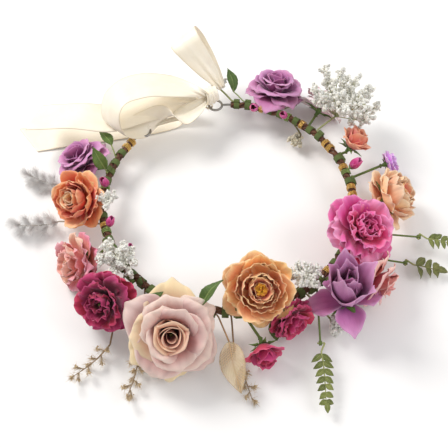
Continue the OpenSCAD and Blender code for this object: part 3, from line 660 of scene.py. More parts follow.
mag_o = petal_mat("magenta_bud_dye", [(0, C(130, 8, 70)), (0.6, C(190, 26, 110)), (1, C(220, 70, 150))], [(0, C(140, 10, 76)), (0.6, C(200, 34, 120)), (1, C(226, 90, 160))], C(240, 140, 190), 0.4)


def flower(i, name, kind, ho, po, hs, ps, seed, roll=0.0, one=False, **kw):
    x, y, z, yaw, pitch, d = PLACE[i]
    if one:
        bloom(name, kind, d, (x, y, z), yaw, pitch, (ho, po), seed, roll, nodes=(name,), slots=(ps,), **kw)
    else:
        bloom(name, kind, d, (x, y, z), yaw, pitch, (ho, po), seed, roll, nodes=(name + "_petals", name + "_heart"), slots=(ps, hs), **kw)


flower(0, "mauve_rose_left", "rose", mauve_h, mauve_o, "mauve_deep", "mauve_cloth", 3, 20)
flower(1, "orange_ranunculus", "cabbage", orange_h, orange_o, "cream_heart", "orange_cloth", 5, 10)
flower(2, "peach_pink_rose", "peony", pinkp_h, pinkp_o, "pink_heart", "peach_pink_cloth", 8, 0)
flower(3, "burgundy_peony", "peony", burg_h, burg_o, "burgundy_deep", "burgundy_cloth", 12, 40)
flower(4, "dusty_pink_rose", "rose", dusty_h, dusty_o, "dusty_heart", "dusty_cloth", 21, -15, q=1.35)
flower(5, "peach_cabbage_rose", "cabbage", cab_h, cab_o, "stamen_gold", "peach_cloth", 34, 0, q=1.2)
flower(6, "crimson_rose", "peony", crim_h, crim_o, "crimson_deep", "crimson_cloth", 55, 0)
flower(7, "mauve_rose_front", "tulip", mauve_h, mauve_o, "mauve_deep", "mauve_cloth", 89, 30, q=1.2)
flower(8, "coral_rose", "rose", coral_h, coral_o, "coral_heart", "coral_cloth", 144, 0)
flower(9, "hot_pink_peony", "peony", hot_h, hot_o, "hot_pink_deep", "hot_pink_cloth", 233, 15, q=1.25)
flower(10, "peach_rose_right", "cabbage", cab_h, peachl_o, "stamen_gold", "peach_light_cloth", 377, 0)
flower(11, "pale_pink_rose", "rose", pale_o, pale_o, "pale_pink_heart", "pale_pink_cloth", 610, 0)
flower(12, "mauve_rose_back", "rose", mauve_h, mauve_o, "mauve_deep", "mauve_cloth", 987, 50)
flower(13, "small_crimson_rose", "bud", crim_h, crim_o, None, "crimson_cloth", 17, 0, one=True)
flower(14, "coral_bud", "bud", bud_o, bud_o, None, "coral_bud_cloth", 19, 0, one=True)
flower(15, "violet_blossom", "peony", viol_o, viol_o, None, "violet_cloth", 23, 0, one=True)

# golden stamens in the cabbage rose
stam = Mat("stamen_dye")
pv, pr = stam.attr("pv"), stam.attr("pr")
stam.set("Base Color", stam.mix(pv, lin(226, 170, 60), stam.mix(pr, lin(250, 196, 60), lin(196, 110, 30)))).set("Roughness", 0.7)
stam.bump(stam.noise(stam.obj(), 2500.0), 0.4, 0.0002)
G = Geo()
x, y, z, yaw, pitch, d = PLACE[5]
M, p0 = aim(yaw, pitch), np.array([x, y, z], float)
for k in range(64):
    a, s = k * GOLD, 3.4 * math.sqrt(k / 64)
    h = 0.33 * d + rng.normal(0, 0.7)
    base = np.array([0.4 * s * math.cos(a), 0.4 * s * math.sin(a), 4.0])
    top = np.array([1.25 * s * math.cos(a), 1.25 * s * math.sin(a), h])
    P = catmull([base, (base + top) / 2 + np.array([0.3, 0.2, 0]), top], 7) @ M.T + p0
    V, Q, T, sv_, su_ = tube(P, 0.17, 5)
    G.add(V, Q, T, pv=np.clip(sv_ / 16, 0, 0.4), pr=float(rng.uniform()))
    G.add(ICO1[0] * np.array([0.5, 0.5, 0.75]) @ M.T + P[-1], T=ICO1[1], pv=1.0, pr=float(rng.uniform()))
G.obj("peach_cabbage_rose_stamens", stam.m, nodes=("peach_cabbage_rose_heart",), slot="stamen_gold")


# ---------------------------------------------------------------- greenery
def leaf_mat(name, a, b, edge, rough=0.6, alpha=1.0):
    m = Mat(name)
    pv, pu, pr = m.attr("pv"), m.attr("pu"), m.attr("pr")
    side = m.math("ABSOLUTE", m.math("SUBTRACT", pu, 0.5))
    w = m.math("SUBTRACT", m.math("MULTIPLY", pv, 12.0), m.math("MULTIPLY", side, 9.0))
    v = m.math("ABSOLUTE", m.math("SINE", m.math("MULTIPLY", w, math.pi)))
    rib = m.math("SUBTRACT", 1.0, m.math("MULTIPLY", side, 16.0), clamp=True)
    lines = m.math("MAXIMUM", rib, m.math("POWER", m.math("SUBTRACT", 1.0, v), 6.0))
    cl = m.noise(m.vec(m.math("MULTIPLY", pu, 3.0), m.math("MULTIPLY", pv, 6.0), m.math("MULTIPLY", pr, 50.0)), 1.0, 4.0)
    c = m.mix(m.math("ADD", cl, m.math("MULTIPLY", m.math("SUBTRACT", pr, 0.5), 0.6), clamp=True), a, b)
    c = m.mix(m.math("MULTIPLY", lines, 0.55), c, edge)
    m.set("Base Color", c).set("Roughness", rough).set("Subsurface Weight", 0.08).set("Subsurface Radius", (0.5, 1.0, 0.3)).set("Subsurface Scale", 0.001)
    m.bump(m.math("ADD", lines, m.math("MULTIPLY", cl, 0.5)), 0.5, 0.0004)
    if alpha < 1:
        m.set("Alpha", alpha)
    return m.m


leaf_m = leaf_mat("leaf_cloth", lin(44, 74, 30), lin(106, 134, 58), lin(168, 182, 110))
fern_m = leaf_mat("fern_cloth", lin(88, 98, 44), lin(142, 148, 78), lin(184, 186, 120))
dark_m = leaf_mat("twig_leaf_cloth", lin(70, 78, 40), lin(124, 124, 66), lin(166, 160, 100))
sep_m = leaf_mat("sepal_cloth", lin(52, 84, 36), lin(110, 140, 64), lin(150, 172, 96))


def blade(G, M, p, L, W, seed, bend=0.25, fold=0.25, t=0.35, nu=8, nv=16, pr=None):
    """A leaf: local +x is its length, +z its upper side."""
    g = np.random.default_rng(seed)
    v = np.linspace(0, 1, nv + 1)
    u = np.linspace(-1, 1, nu + 1)
    vv, uu = np.meshgrid(v, u, indexing="ij")
    w = W / 2 * np.sin(np.pi * np.clip(vv, 0.004, 0.996) ** 0.82) ** 0.85 * (1 + 0.04 * np.sin(vv * 40 + g.uniform(0, 6)))
    X = L * vv
    Y = uu * w
    Z = fold * np.abs(uu) * w - bend * L * vv**2 * 0.5 + 0.05 * L * np.sin(vv * math.pi) + 0.05 * W * np.sin(vv * 9 + uu * 2 + g.uniform(0, 6))
    P = np.stack([X, Y, Z], -1) @ M.T + p
    V, Q = sheet_solid(P, t)
    d = lambda a: np.concatenate([a.ravel(), a.ravel()])
    G.add(V, Q, pv=d(vv), pu=d(uu * 0.5 + 0.5), pr=float(g.uniform()) if pr is None else pr)


def frame_x(yaw, pitch, roll=0.0):
    """Local +x along a heading."""
    return rz(math.radians(yaw)) @ ry(-math.radians(pitch)) @ rx(math.radians(roll))


LEAVES = [[(50, 96, 3), 75, 25, 20, 9, 30], [(-77, 62, 6), 115, 62, 18, 9, -30], [(-98, -62, 6), -20, 50, 24, 10, 40], [(-60, -80, 8), 20, 40, 24, 10, -30],
          [(-13, -102, -9), -100, -35, 14, 8, 0], [(96, 68, -8), 70, 0, 22, 9, -20], [(-63, 88, -1), 100, 10, 16, 8, 20]]
G = Geo()
for k, (q, yaw, pitch, L, W, roll) in enumerate(LEAVES):
    q = np.array(q, float)
    M = frame_x(yaw, pitch, roll)
    blade(G, M, q, L + 2, W + 1.5, 70 + k)
    V, Q, T, sv_, su_ = tube(np.vstack([stem_line(*BOUND[16 + k], q), (M @ np.array([[2.5, 0, 0.1], [6, 0, 0.2], [9, 0, 0]]).T).T + q]), 0.5, 8)
    G.add(V, Q, T, pv=0.3, pu=0.5, pr=0.4)
G.obj("loose_leaves", leaf_m, nodes=("green_leaves",), slot="leaf_green")

# sepals and calyx under each flower
G = Geo()
for i, (x, y, z, yaw, pitch, d) in enumerate(PLACE):
    M, p0 = aim(yaw, pitch), np.array([x, y, z], float)
    for k in range(5):
        petal(G, M, p0, 0.27 * d, 0.14 * d, [(0, 66), (0.5, 70), (1, 96)], k * TAU / 5 + i, 1.6, -0.075 * d - 0.4, [0.12 * d, 0.2 * d, 0.3 * d], 900 + 7 * i + k, 1.0, 0.3 + 0.1 * k,
              nu=6, nv=10, tip=0.35, rnd=0.6, wide=0.4, t=0.4, curl_top=1.0)
    th = np.linspace(0, 1, 8)
    P = p0 + (np.stack([0 * th, 0 * th, (-0.1 * d - 2.6) + th * (0.1 * d + 1.6)], -1) @ M.T)
    V, Q, T, sv_, su_ = tube(P, 1.15 + 0.75 * np.sin(th * 2.2), 12)
    G.add(V, Q, T, pv=0.5, pu=0.4, pr=0.2)
G.obj("sepals", sep_m, nodes=("flower_sepals",), slot="sepal_green")


def fern(name, body, node, slot, mat, p, yaw, pitch, L, n, l, w, seed):
    g = np.random.default_rng(seed)
    G = Geo()
    M = frame_x(yaw, pitch)
    p = np.array(p, float)
    s = np.linspace(0, 1, 26)
    x = 6 + (L - 6) * s
    line = np.stack([x, 0.6 * np.sin(x / L * 4) * smooth(6, 14, x), -0.9 * np.sin(s * math.pi) * 0.4], -1)
    wire = catmull([[0, -2.2, 0], [0, 0.3, 0], [0, 2.2, 0], [0.5, 2.85, 0], [3, 1.5, 0], [6, 0, 0]], 40)
    V, Q, T, sv_, su_ = tube(np.vstack([wire, line[1:]]) @ M.T + p, np.r_[np.full(40, 0.62), 0.62 - 0.3 * s[1:]], 8)
    G.add(V, Q, T, pv=0.4, pu=0.5, pr=0.3)
    for i in range(1, n + 1):
        for sd in (-1, 1):
            x0 = 5 + (L - 5) * (i - 0.5) / n
            c = np.array([x0, 0.6 * math.sin(x0 / L * 4) * float(smooth(6, 14, x0)), 0.0])
            R = M @ rz(math.radians(sd * (52 + g.normal(0, 4)))) @ rx(math.radians(sd * 18 + g.normal(0, 8)))
            blade(G, R, M @ c + p, l * (1.18 - 0.5 * i / n), w * 1.05, int(g.integers(1 << 30)), nu=6, nv=10, bend=0.35, fold=0.3, t=0.3)
    blade(G, M, M @ np.array([L - 1, 0, 0]) + p, l * 0.85, w, 5, nu=6, nv=10, t=0.3)
    return G.obj(name, mat, body=body, nodes=(node,), slot=slot)


FF, FS, FT = (8, -133, -7), (118, -88, -8), (99, -101, -13)
fern("front_fern_leaves", "front_fern", "fern_sprig_front", "fern_green", fern_m, FF, -112, -8, 42, 7, 8, 4, 1)
fern("side_fern_leaves", "side_fern", "fern_sprig_side", "fern_green", fern_m, FS, -42, 6, 28, 5, 8, 4, 2)
fern("side_twig_leaves", "side_twig", "leaf_twig_side", "leaf_green", dark_m, FT, -36, -4, 24, 3, 11, 6, 3)

# buds
G = Geo()
GS = Geo()
BUDS = [[411, 140, 231, 50, 3.6], [394, 140, 200, 60, 3.2], [149.5, 150, 150, 70, 3.4], [173.5, 110, 20, 60, 3.2], [188.6, 150, 0, 50, 3.2], [350, 70, -10, 50, 4]]
for k, (u, f, yaw, pitch, r) in enumerate(BUDS):
    a, q = axis(yaw, pitch), elbow(u, f)
    M, c = aim(yaw, pitch), q + (3 + r) * a
    for j in range(6):
        petal(G, M, c, 2.9 * r, 2.3 * r, [(0, 74), (0.25, 24), (0.6, -8), (1, -34 + 3 * j)], j * GOLD, 0.2 * r, -1.05 * r, [0.8 * r, 1.0 * r, 0.9 * r], 40 + 7 * k + j, 0.5, (j * 0.37) % 1,
              nu=10, nv=12, tip=0.08, rnd=0.35, t=0.3, lumps=0.02)
    e = hoop(u, 2.2, f)
    line = catmull([hoop(u - 1.5, 3.0, f), q, q + 1.5 * a, c - 0.8 * r * a], 14)
    V, Q, T, sv_, su_ = tube(line, 0.7, 8)
    GS.add(V, Q, T, pv=0.4, pu=0.5, pr=0.3)
    for j in range(5):
        petal(GS, M, c, 1.5 * r, 0.9 * r, [(0, 70), (0.3, 20), (1, 2)], j * TAU / 5, 0.25 * r, -1.2 * r, [0.7 * r, 1.1 * r, 1.1 * r], 300 + 7 * k + j, 1.0, 0.4, nu=6, nv=8, tip=0.3, rnd=0.6, t=0.3, wide=0.4)
    # turns of tape that hold the bud
    t = np.linspace(0, 1, 60)
    V, Q, T, sv_, su_ = tube(hoop(u - 1.2 + 2.4 * t, 3.25, 360 * 3 * t), 0.45, 6)
    GS.add(V, Q, T, pv=0.2, pu=0.5, pr=0.2)
G.obj("bud_petals", mag_o, nodes=("magenta_buds",), slot="bud_magenta")
GS.obj("bud_sepals", sep_m, nodes=("magenta_buds",), slot="sepal_green")


# ---------------------------------------------------------------- sprays
def foam_mat(name, a, b, core, stalk):
    m = Mat(name)
    pv, pr = m.attr("pv"), m.attr("pr")
    o = m.obj()
    grain = m.noise(o, 1800.0, 3.0, 0.7)
    c = m.mix(pr, a, b)
    c = m.mix(m.math("MULTIPLY", m.math("SUBTRACT", 0.62, grain, clamp=True), 2.2, clamp=True), c, core)
    c = m.mix(pv, stalk, c)
    m.set("Base Color", c).set("Roughness", 0.85).set("Subsurface Weight", 0.45).set("Subsurface Radius", (1.0, 0.95, 0.85)).set("Subsurface Scale", 0.003)
    m.bump(grain, 0.6, 0.0006)
    return m.m


white_m = foam_mat("foam_white", lin(255, 253, 246), lin(246, 244, 234), lin(226, 222, 204), lin(146, 150, 104))
cream_m = foam_mat("foam_cream", lin(244, 236, 214), lin(216, 206, 180), lin(176, 160, 130), lin(134, 128, 92))
FLORET = []
for s in range(6):
    g = np.random.default_rng(500 + s)
    V = ICO1[0].copy()
    k = g.normal(0, 1, (5, 3))
    bump = 1 + 0.16 * sum(np.sin(3.0 * V @ unit(kk) + i) for i, kk in enumerate(k)) / 1.6
    FLORET.append(V * bump[:, None])


def spray(name, mat, slot, k, q, yaw, pitch, L, n, spread, r, seed, twigs, florets, size):
    g = np.random.default_rng(seed)
    G = Geo()
    q = np.array(q, float)
    M = aim(yaw, pitch)
    V, Q, T, sv_, su_ = tube(stem_line(*BOUND[k], q), 0.75, 8)
    G.add(V, Q, T, pv=0.0, pr=0.3)
    for i in range(n):
        s = math.radians(spread * math.sqrt((i + 0.5) / n))
        l = L * (0.88 + 0.12 * math.sin(math.radians(i * 71)))
        R = M @ rz(math.radians(i * 137.5)) @ ry(s)
        t = np.linspace(0, 1, 12)
        bow = g.normal(0, 0.05, 2) * l
        line = np.stack([bow[0] * np.sin(math.pi * t), bow[1] * np.sin(math.pi * t), l * t], -1)
        W = line @ R.T + q
        V, Q, T, sv_, su_ = tube(W, 0.38 - 0.16 * t, 6)
        G.add(V, Q, T, pv=0.0, pr=0.3)
        for j in range(twigs):
            a = (0.3 + 0.7 * (j + 0.5) / twigs)
            b = np.array([np.interp(a, t, line[:, c]) for c in range(3)])
            d = unit(np.array([g.normal(0, 0.75), g.normal(0, 0.75), g.uniform(0.35, 1.1)]))
            tl = g.uniform(1.6, 2.9) * r * (1.15 - 0.55 * a) if L > 20 else g.uniform(0.9, 1.7) * r
            e = b + d * tl
            mid = (b + e) / 2 + g.normal(0, 0.25, 3)
            P = catmull([b, mid, e], 6) @ R.T + q
            V, Q, T, sv_, su_ = tube(P, 0.16, 4)
            G.add(V, Q, T, pv=0.0, pr=0.3)
            for f in range(florets):
                w = g.uniform(0.35, 1.05)
                c = b + (e - b) * w + g.normal(0, 0.62, 3) * size
                sz = size * g.uniform(0.72, 1.3)
                c = R @ c + q
                if np.hypot(c[0] - 0, c[1] - 0) < 46 and abs(c[2]) < 60:
                    continue
                c[2] = max(c[2], -20.3)
                G.add(FLORET[g.integers(6)] * sz @ aim(*g.uniform(0, 360, 2)).T + c, T=ICO1[1], pv=1.0, pr=float(g.uniform()))
    return G.obj(name, mat, nodes=(name,), slot=slot)


spray("spray_right", white_m, "spray_white", 0, (112, 32, 8), 20, 62, 40, 16, 62, 3.2, 1, 19, 7, 1.08)
spray("spray_right_inner", cream_m, "spray_cream", 1, (86, 40, -11), 200, -12, 11, 7, 36, 2.0, 2, 8, 5, 0.8)
spray("spray_left", white_m, "spray_white", 2, (-97, -21, 8), -150, 88, 17, 12, 80, 2.4, 3, 18, 8, 0.85)
spray("spray_left_back", white_m, "spray_white", 3, (-88, 28, 8), 60, 70, 11, 6, 60, 1.9, 4, 14, 7, 0.8)
spray("spray_front", white_m, "spray_white", 4, (14, -93, 8), 40, 78, 18, 8, 52, 2.4, 5, 16, 8, 0.85)
spray("spray_crimson", white_m, "spray_white", 5, (26, -116, -15), -80, 20, 14, 6, 35, 2.2, 6, 16, 8, 0.85)
spray("spray_ribbon_end", white_m, "spray_white", 6, (40, 100, 6), 80, 20, 10, 5, 55, 1.8, 7, 9, 6, 0.75)


# plumes and dried sprigs: a stalk with fine hairs and seeds
def fibre_mat(name, a, b, stalk):
    m = Mat(name)
    pv, pr = m.attr("pv"), m.attr("pr")
    c = m.mix(pv, stalk, m.mix(pr, a, b))
    m.set("Base Color", c).set("Roughness", 0.75).set("Sheen Weight", 0.3)
    m.bump(m.noise(m.obj(), 2200.0), 0.3, 0.0002)
    return m.m


plume_m = fibre_mat("plume_fibre", lin(246, 244, 241), lin(214, 210, 208), lin(170, 158, 142))
sprig_m = fibre_mat("sprig_fibre", lin(222, 200, 160), lin(176, 146, 106), lin(132, 104, 72))


def plume(G, k, q, yaw, pitch, L, n, r, seed, hairs, length, seeds=0):
    g = np.random.default_rng(seed)
    q = np.array(q, float)
    M = aim(yaw, pitch)
    V, Q, T, sv_, su_ = tube(stem_line(*BOUND[k], q), 0.65, 8)
    G.add(V, Q, T, pv=0.0, pr=0.3)
    t = np.linspace(0, 1, 20)
    line = np.stack([0.05 * L * np.sin(2.6 * t), 0.03 * L * np.sin(4 * t), L * t], -1)
    V, Q, T, sv_, su_ = tube(line @ M.T + q, 0.6 - 0.35 * t, 7)
    G.add(V, Q, T, pv=0.1, pr=0.3)
    for i in range(1, n + 1):
        z0 = L * i / n - 2.2
        base = np.array([np.interp(z0 / L, t, line[:, c]) for c in range(3)])
        a = math.radians(i * 137.5)
        d0 = np.array([math.cos(a) * math.sin(1.0), math.sin(a) * math.sin(1.0), math.cos(1.0)])
        end = base + d0 * (r + 0.4)
        V, Q, T, sv_, su_ = tube(np.array([base, (base + end) / 2 + [0, 0, -0.2], end]) @ M.T + q, 0.28, 6)
        G.add(V, Q, T, pv=0.1, pr=0.3)
        for h in range(hairs):
            w = g.uniform(0.05, 1.0)
            b = base + (end - base) * w
            d = unit(d0 * 0.7 + g.normal(0, 0.62, 3) + np.array([0, 0, 0.35]))
            ll = length * g.uniform(0.5, 1.15)
            side = g.normal(0, 0.18, 3) * ll
            P = catmull([b, b + d * ll * 0.5 + side * 0.4, b + d * ll + side + [0, 0, 0.1 * ll]], 5) @ M.T + q
            P[:, 2] = np.maximum(P[:, 2], -21.2)
            V, Q, T, sv_, su_ = tube(P, np.array([0.13, 0.12, 0.1, 0.08, 0.04]), 3)
            G.add(V, Q, T, pv=1.0, pr=float(g.uniform()))
        for h in range(seeds):
            c = end + g.normal(0, 0.75, 3)
            c = M @ c + q
            c[2] = max(c[2], -20.8)
            G.add(FLORET[g.integers(6)] * np.array([0.5, 0.5, 0.85]) * g.uniform(0.7, 1.2) @ aim(*g.uniform(0, 360, 2)).T + c, T=ICO1[1], pv=0.9, pr=float(g.uniform()))


G = Geo()
plume(G, 7, (-113, 79, -15), 138, 6, 26, 9, 6, 61, 150, 7.5)
plume(G, 8, (-124, 44, -13), 165, 6, 34, 10, 6, 62, 150, 7.5)
G.obj("plume_fibres", plume_m, nodes=("dried_plumes",), slot="plume_grey")
G = Geo()
plume(G, 9, (-108, -84, -12), -125, -4, 32, 9, 5.5, 63, 50, 4.2, 9)
plume(G, 10, (-124, -70, -12), -160, -2, 34, 9, 5.5, 64, 50, 4.2, 9)
plume(G, 11, (-49, -115, -14), -92, -3, 32, 8, 5, 65, 50, 4.2, 9)
G.obj("sprig_fibres", sprig_m, nodes=("dried_sprigs",), slot="sprig_tan")

# skeleton leaf: a net of veins with a thin film
G = Geo()
F = Geo()
q = np.array([-49, -106, -6.0])
M = frame_x(-105, 5, 20)
L, W = 37.0, 18.0
hw = lambda v: W / 2 * np.sin(np.pi * np.clip(v, 0.004, 0.996) ** 0.82) ** 0.85
zz = lambda v, y: 0.2 * np.abs(y) - 0.12 * L * v**2 + 0.05 * L * np.sin(v * math.pi)
blade(F, M, q, L, W, 4, bend=0.24, fold=0.2, t=0.12, nu=12, nv=26)
v = np.linspace(0, 1, 30)
V, Q, T, sv_, su_ = tube(np.stack([L * v, 0 * v, zz(v, 0 * v)], -1) @ M.T + q, 0.55 - 0.4 * v, 7)
G.add(V, Q, T, pv=0.6, pr=0.4)
for sd in (-1, 1):
    e = np.stack([L * v, sd * hw(v), zz(v, hw(v))], -1)
    V, Q, T, sv_, su_ = tube(e @ M.T + q, 0.16, 5)
    G.add(V, Q, T, pv=0.6, pr=0.6)
    for k in range(17):
        v0 = 0.03 + 0.9 * k / 17
        v1 = min(v0 + 0.16, 0.985)
        w = np.linspace(0, 1, 8)
        vv = v0 + (v1 - v0) * w**0.9
        y = sd * hw(v1) * w
        V, Q, T, sv_, su_ = tube(np.stack([L * vv, y, zz(vv, np.abs(y))], -1) @ M.T + q, 0.2 - 0.1 * w, 5)
        G.add(V, Q, T, pv=0.7, pr=0.5)
        for j in range(1, 6):
            a = j / 6
            yy = sd * hw(v1) * a
            va = v0 + (v1 - v0) * a**0.9
            vb = min(va + 0.9 / 17, 0.97)
            if abs(yy) < hw(vb) * 0.97:
                V, Q, T, sv_, su_ = tube(np.array([[L * va, yy, zz(va, abs(yy))], [L * (va + vb) / 2, yy * 1.04, zz(va, abs(yy))], [L * vb, yy * 0.98, zz(vb, abs(yy))]]) @ M.T + q, 0.1, 4)
                G.add(V, Q, T, pv=0.8, pr=0.5)
V, Q, T, sv_, su_ = tube(stem_line(*BOUND[15], q), 0.6, 8)
G.add(V, Q, T, pv=0.1, pr=0.4)
vein_m = fibre_mat("lace_veins", lin(232, 206, 162), lin(206, 172, 124), lin(168, 130, 88))
G.obj("skeleton_leaf_veins", vein_m, nodes=("skeleton_leaf",), slot="lace_beige")
film_m = leaf_mat("lace_film", lin(226, 202, 162), lin(240, 222, 188), lin(200, 166, 120), 0.7, 0.45)
F.obj("skeleton_leaf_film", film_m, nodes=("skeleton_leaf",), slot="lace_beige")


# ---------------------------------------------------------------- ribbon
satin = Mat("satin_weave")
su, sv, pu, pr = (satin.attr(k) for k in ("su", "sv", "pu", "pr"))
o = satin.obj()
thr = satin.noise(satin.vec(satin.math("MULTIPLY", su, 6.0), satin.math("MULTIPLY", sv, 0.25)), 1.0, 4.0)
floats = weave_height(satin, su, sv, 0.45)
soft = satin.noise(satin.vec(satin.math("MULTIPLY", su, 0.06), satin.math("MULTIPLY", sv, 0.05), pr), 1.0, 3.0)
c = satin.mix(soft, lin(244, 232, 208), lin(255, 248, 234))
c = satin.mix(satin.math("MULTIPLY", satin.math("SUBTRACT", thr, 0.5, clamp=True), 0.6), c, lin(222, 200, 166))
selv = satin.math("POWER", satin.math("ABSOLUTE", satin.math("MULTIPLY_ADD", pu, 2.0, -1.0)), 26.0)
c = satin.mix(satin.math("MULTIPLY", selv, 0.5), c, lin(206, 186, 150))
satin.set("Base Color", c).set("Roughness", 0.3).set("Sheen Weight", 0.35).set("Sheen Roughness", 0.35).set("Specular IOR Level", 0.45)
satin.set("Subsurface Weight", 0.06).set("Subsurface Radius", (1.0, 0.8, 0.6)).set("Subsurface Scale", 0.001)
satin.bump(satin.math("ADD", satin.math("MULTIPLY", floats, 0.3), thr), 0.22, 0.0002)
CLOTH = 28.0


def ribbon_grid(E1, E2, n=150, m=20, bulge=0.0, seed=0, pleat=None):
    """A strip of cloth between two edges. pleat: amplitude along the length of three soft folds."""
    g = np.random.default_rng(seed)
    A, B = catmull(E1, n), catmull(E2, n)
    C0 = (A + B) / 2
    s = np.r_[0, np.cumsum(np.linalg.norm(np.diff(C0, axis=0), axis=1))]
    q = np.linspace(0, s[-1], n)
    A = np.stack([np.interp(q, s, A[:, k]) for k in range(3)], 1)
    B = np.stack([np.interp(q, s, B[:, k]) for k in range(3)], 1)
    u = np.linspace(0, 1, m + 1)
    P = A[:, None] * (1 - u)[None, :, None] + B[:, None] * u[None, :, None]
    T = np.gradient((A + B) / 2, axis=0)
    N = np.cross(T, B - A)
    N /= np.linalg.norm(N, axis=1, keepdims=True) + 1e-9
    for _ in range(6):
        N[1:-1] = (N[:-2] + N[1:-1] * 2 + N[2:]) / 4
    N /= np.linalg.norm(N, axis=1, keepdims=True) + 1e-9
    off = bulge * 4 * u * (1 - u)[None, :] if np.isscalar(bulge) else np.asarray(bulge)[:, None] * (4 * u * (1 - u))[None, :]
    off = np.broadcast_to(off, (n, m + 1)).copy()
    v = np.linspace(0, 1, n)
    off += 0.25 * np.sin(q[:, None] * 0.21 + g.uniform(0, 6)) * np.sin(u[None, :] * 3.0 + g.uniform(0, 6))
    if pleat is not None:
        amp = np.interp(v, *zip(*pleat))
        off += amp[:, None] * (np.sin(u * TAU * 2.5 + 0.7)[None, :] + 0.4 * np.sin(u * TAU * 4.1 + 1.9)[None, :])
    P = P + off[..., None] * N[:, None]
    return P, q, u


def ribbon(name, E1, E2, body, node, held, rests, length, seed=0, t=0.3, n=150, m=20, floor_z=-21.7, **kw):
    P, q, u = ribbon_grid(E1, E2, n, m, seed=seed, **kw)
    P[..., 2] = np.maximum(P[..., 2], floor_z)
    V, Q = sheet_solid(P, t)
    d = lambda a: np.concatenate([a.ravel(), a.ravel()])
    G = Geo()
    G.add(V, Q, su=d(np.broadcast_to(u[None, :] * CLOTH, P.shape[:2])), sv=d(np.broadcast_to(q[:, None], P.shape[:2])), pu=d(np.broadcast_to(u[None, :], P.shape[:2])), pr=0.1 + 0.15 * seed)
    ob = G.obj(name, satin.m, body=body, nodes=(node,), slot="satin")
    area = 0.0
    a, b, c_, d_ = P[:-1, :-1], P[1:, :-1], P[1:, 1:], P[:-1, 1:]
    area = (np.linalg.norm(np.cross(b - a, c_ - a), axis=-1).sum() + np.linalg.norm(np.cross(c_ - a, d_ - a), axis=-1).sum()) / 2
    print("RIBBON", name, "length", round(float(q[-1]), 1), "area", round(float(area)), "share", round(float(area / (CLOTH * length)), 2))
    return ob


# big loop, from the knot over the top, round the left end and back along the front
E1 = [(27, 91, 13), (21, 93, 22), (12, 110, 20), (0, 118, 24), (-18, 122, 30), (-37, 123, 31), (-52, 120, 26), (-60, 113, 17), (-61, 106, 9), (-50, 103, 5), (-33, 103, 9), (-18, 98, 16), (-12, 88, 20), (-10, 76, 19), (-3, 71, 13), (10, 76, 12), (25, 88, 11)]
E2 = [(27, 94, 8), (14, 91, 17), (4, 90, 23), (-12, 93, 28), (-27, 95, 32), (-42, 95, 33), (-50, 92, 29), (-53, 89, 20), (-51, 84, 10), (-44, 81, 5), (-35, 83, 0), (-28, 88, -2), (-20, 92, -1), (-8, 94, 4), (2, 94, 9), (14, 94, 11), (28, 93, 9)]
ribbon("bow_loop_large_satin", E1, E2, "crown", "bow_loop_large", "folded", ["bow_knot_satin"], 206, seed=1, n=220, m=24, bulge=0.6,
       pleat=[(0, 1.1), (0.1, 0.5), (0.22, 0.1), (0.8, 0.1), (0.93, 0.6), (1, 1.1)])

# small loop behind it
L0 = np.array([27.6, 130.5, 33.3])
ML = rz(math.radians(-72)) @ ry(math.radians(29)) @ rx(math.radians(38))
a0 = math.acos(11 / 42)
path, wid = [], []
for t in np.linspace(0, 1, 6)[:-1]:
    path.append(np.array([42 - (42 - 11 * math.cos(a0)) * t, 0, 0.6 + (11 * math.sin(a0) - 0.6) * t]))
for a in np.linspace(a0, TAU - a0, 12):
    path.append(np.array([11 * math.cos(a), 0, 11.0 * math.sin(a)]))
for t in np.linspace(0, 1, 6)[1:]:
    path.append(np.array([11 * math.cos(a0) + (42 - 11 * math.cos(a0)) * t, 0, -11 * math.sin(a0) + (11 * math.sin(a0) - 0.6) * t]))
path = np.array(path)
k = np.linspace(-1, 1, len(path))
wid = 25.5 - 20 * np.abs(k) ** 3.4
side = np.array([0, 1.0, 0])
E1 = (path + side * wid[:, None] / 2) @ ML.T + L0
E2 = (path - side * wid[:, None] / 2 + np.array([1.0, 0, 0]) * (2.5 * np.sin(k * 3))[:, None]) @ ML.T + L0
ribbon("bow_loop_small_satin", E1, E2, "crown", "bow_loop_small", "folded", ["bow_knot_satin"], 121, seed=2, n=150, m=22, bulge=0.7,
       pleat=[(0, 1.2), (0.16, 0.6), (0.3, 0.1), (0.7, 0.1), (0.84, 0.6), (1, 1.2)])

# tails
E1 = [(19, 97, 7), (11, 99, 13), (-4, 112, 10), (-20, 118, 7), (-38, 121, 6), (-54, 124, 8), (-73, 132, 10), (-88, 139, 9), (-101, 148, 4.5)]
E2 = [(20, 100, 4), (8, 97, 1), (-8, 92, 4), (-27, 91, 7.5), (-46, 93, 6.5), (-62, 97, 5), (-79, 105, 8), (-95, 112, 10), (-122, 122, 11)]
ribbon("ribbon_tail_upper_satin", E1, E2, "upper_tail", "ribbon_tail_upper", "hung", ["bow_knot_satin"], 140, seed=3, n=170, m=22, bulge=0.8,
       pleat=[(0, 1.0), (0.12, 0.6), (0.3, 0.12), (1, 0.0)])
h = math.radians(166)
hd, nd = np.array([math.cos(h), math.sin(h), 0]), np.array([-math.sin(h), math.cos(h), 0])
st = [(0, 1.0, 5), (6, -5, 9), (12, -14, 15), (20, -20.6, 21), (36, -21.1, 26), (60, -20.3, 28), (86, -21.2, 28), (112, -20.4, 28), (134, -21.2, 28), (146, -21.3, 28)]
TL = np.array([21, 104, 0.0])
E1 = [TL + hd * (a - (6 if k == len(st) - 1 else 0)) + nd * w / 2 + np.array([0, 0, z + 0.3 * math.sin(k)]) for k, (a, z, w) in enumerate(st)]
E2 = [TL + hd * (a + (8 if k == len(st) - 1 else 0)) - nd * w / 2 + np.array([0, 0, z + 0.3 * math.cos(2 * k)]) for k, (a, z, w) in enumerate(st)]
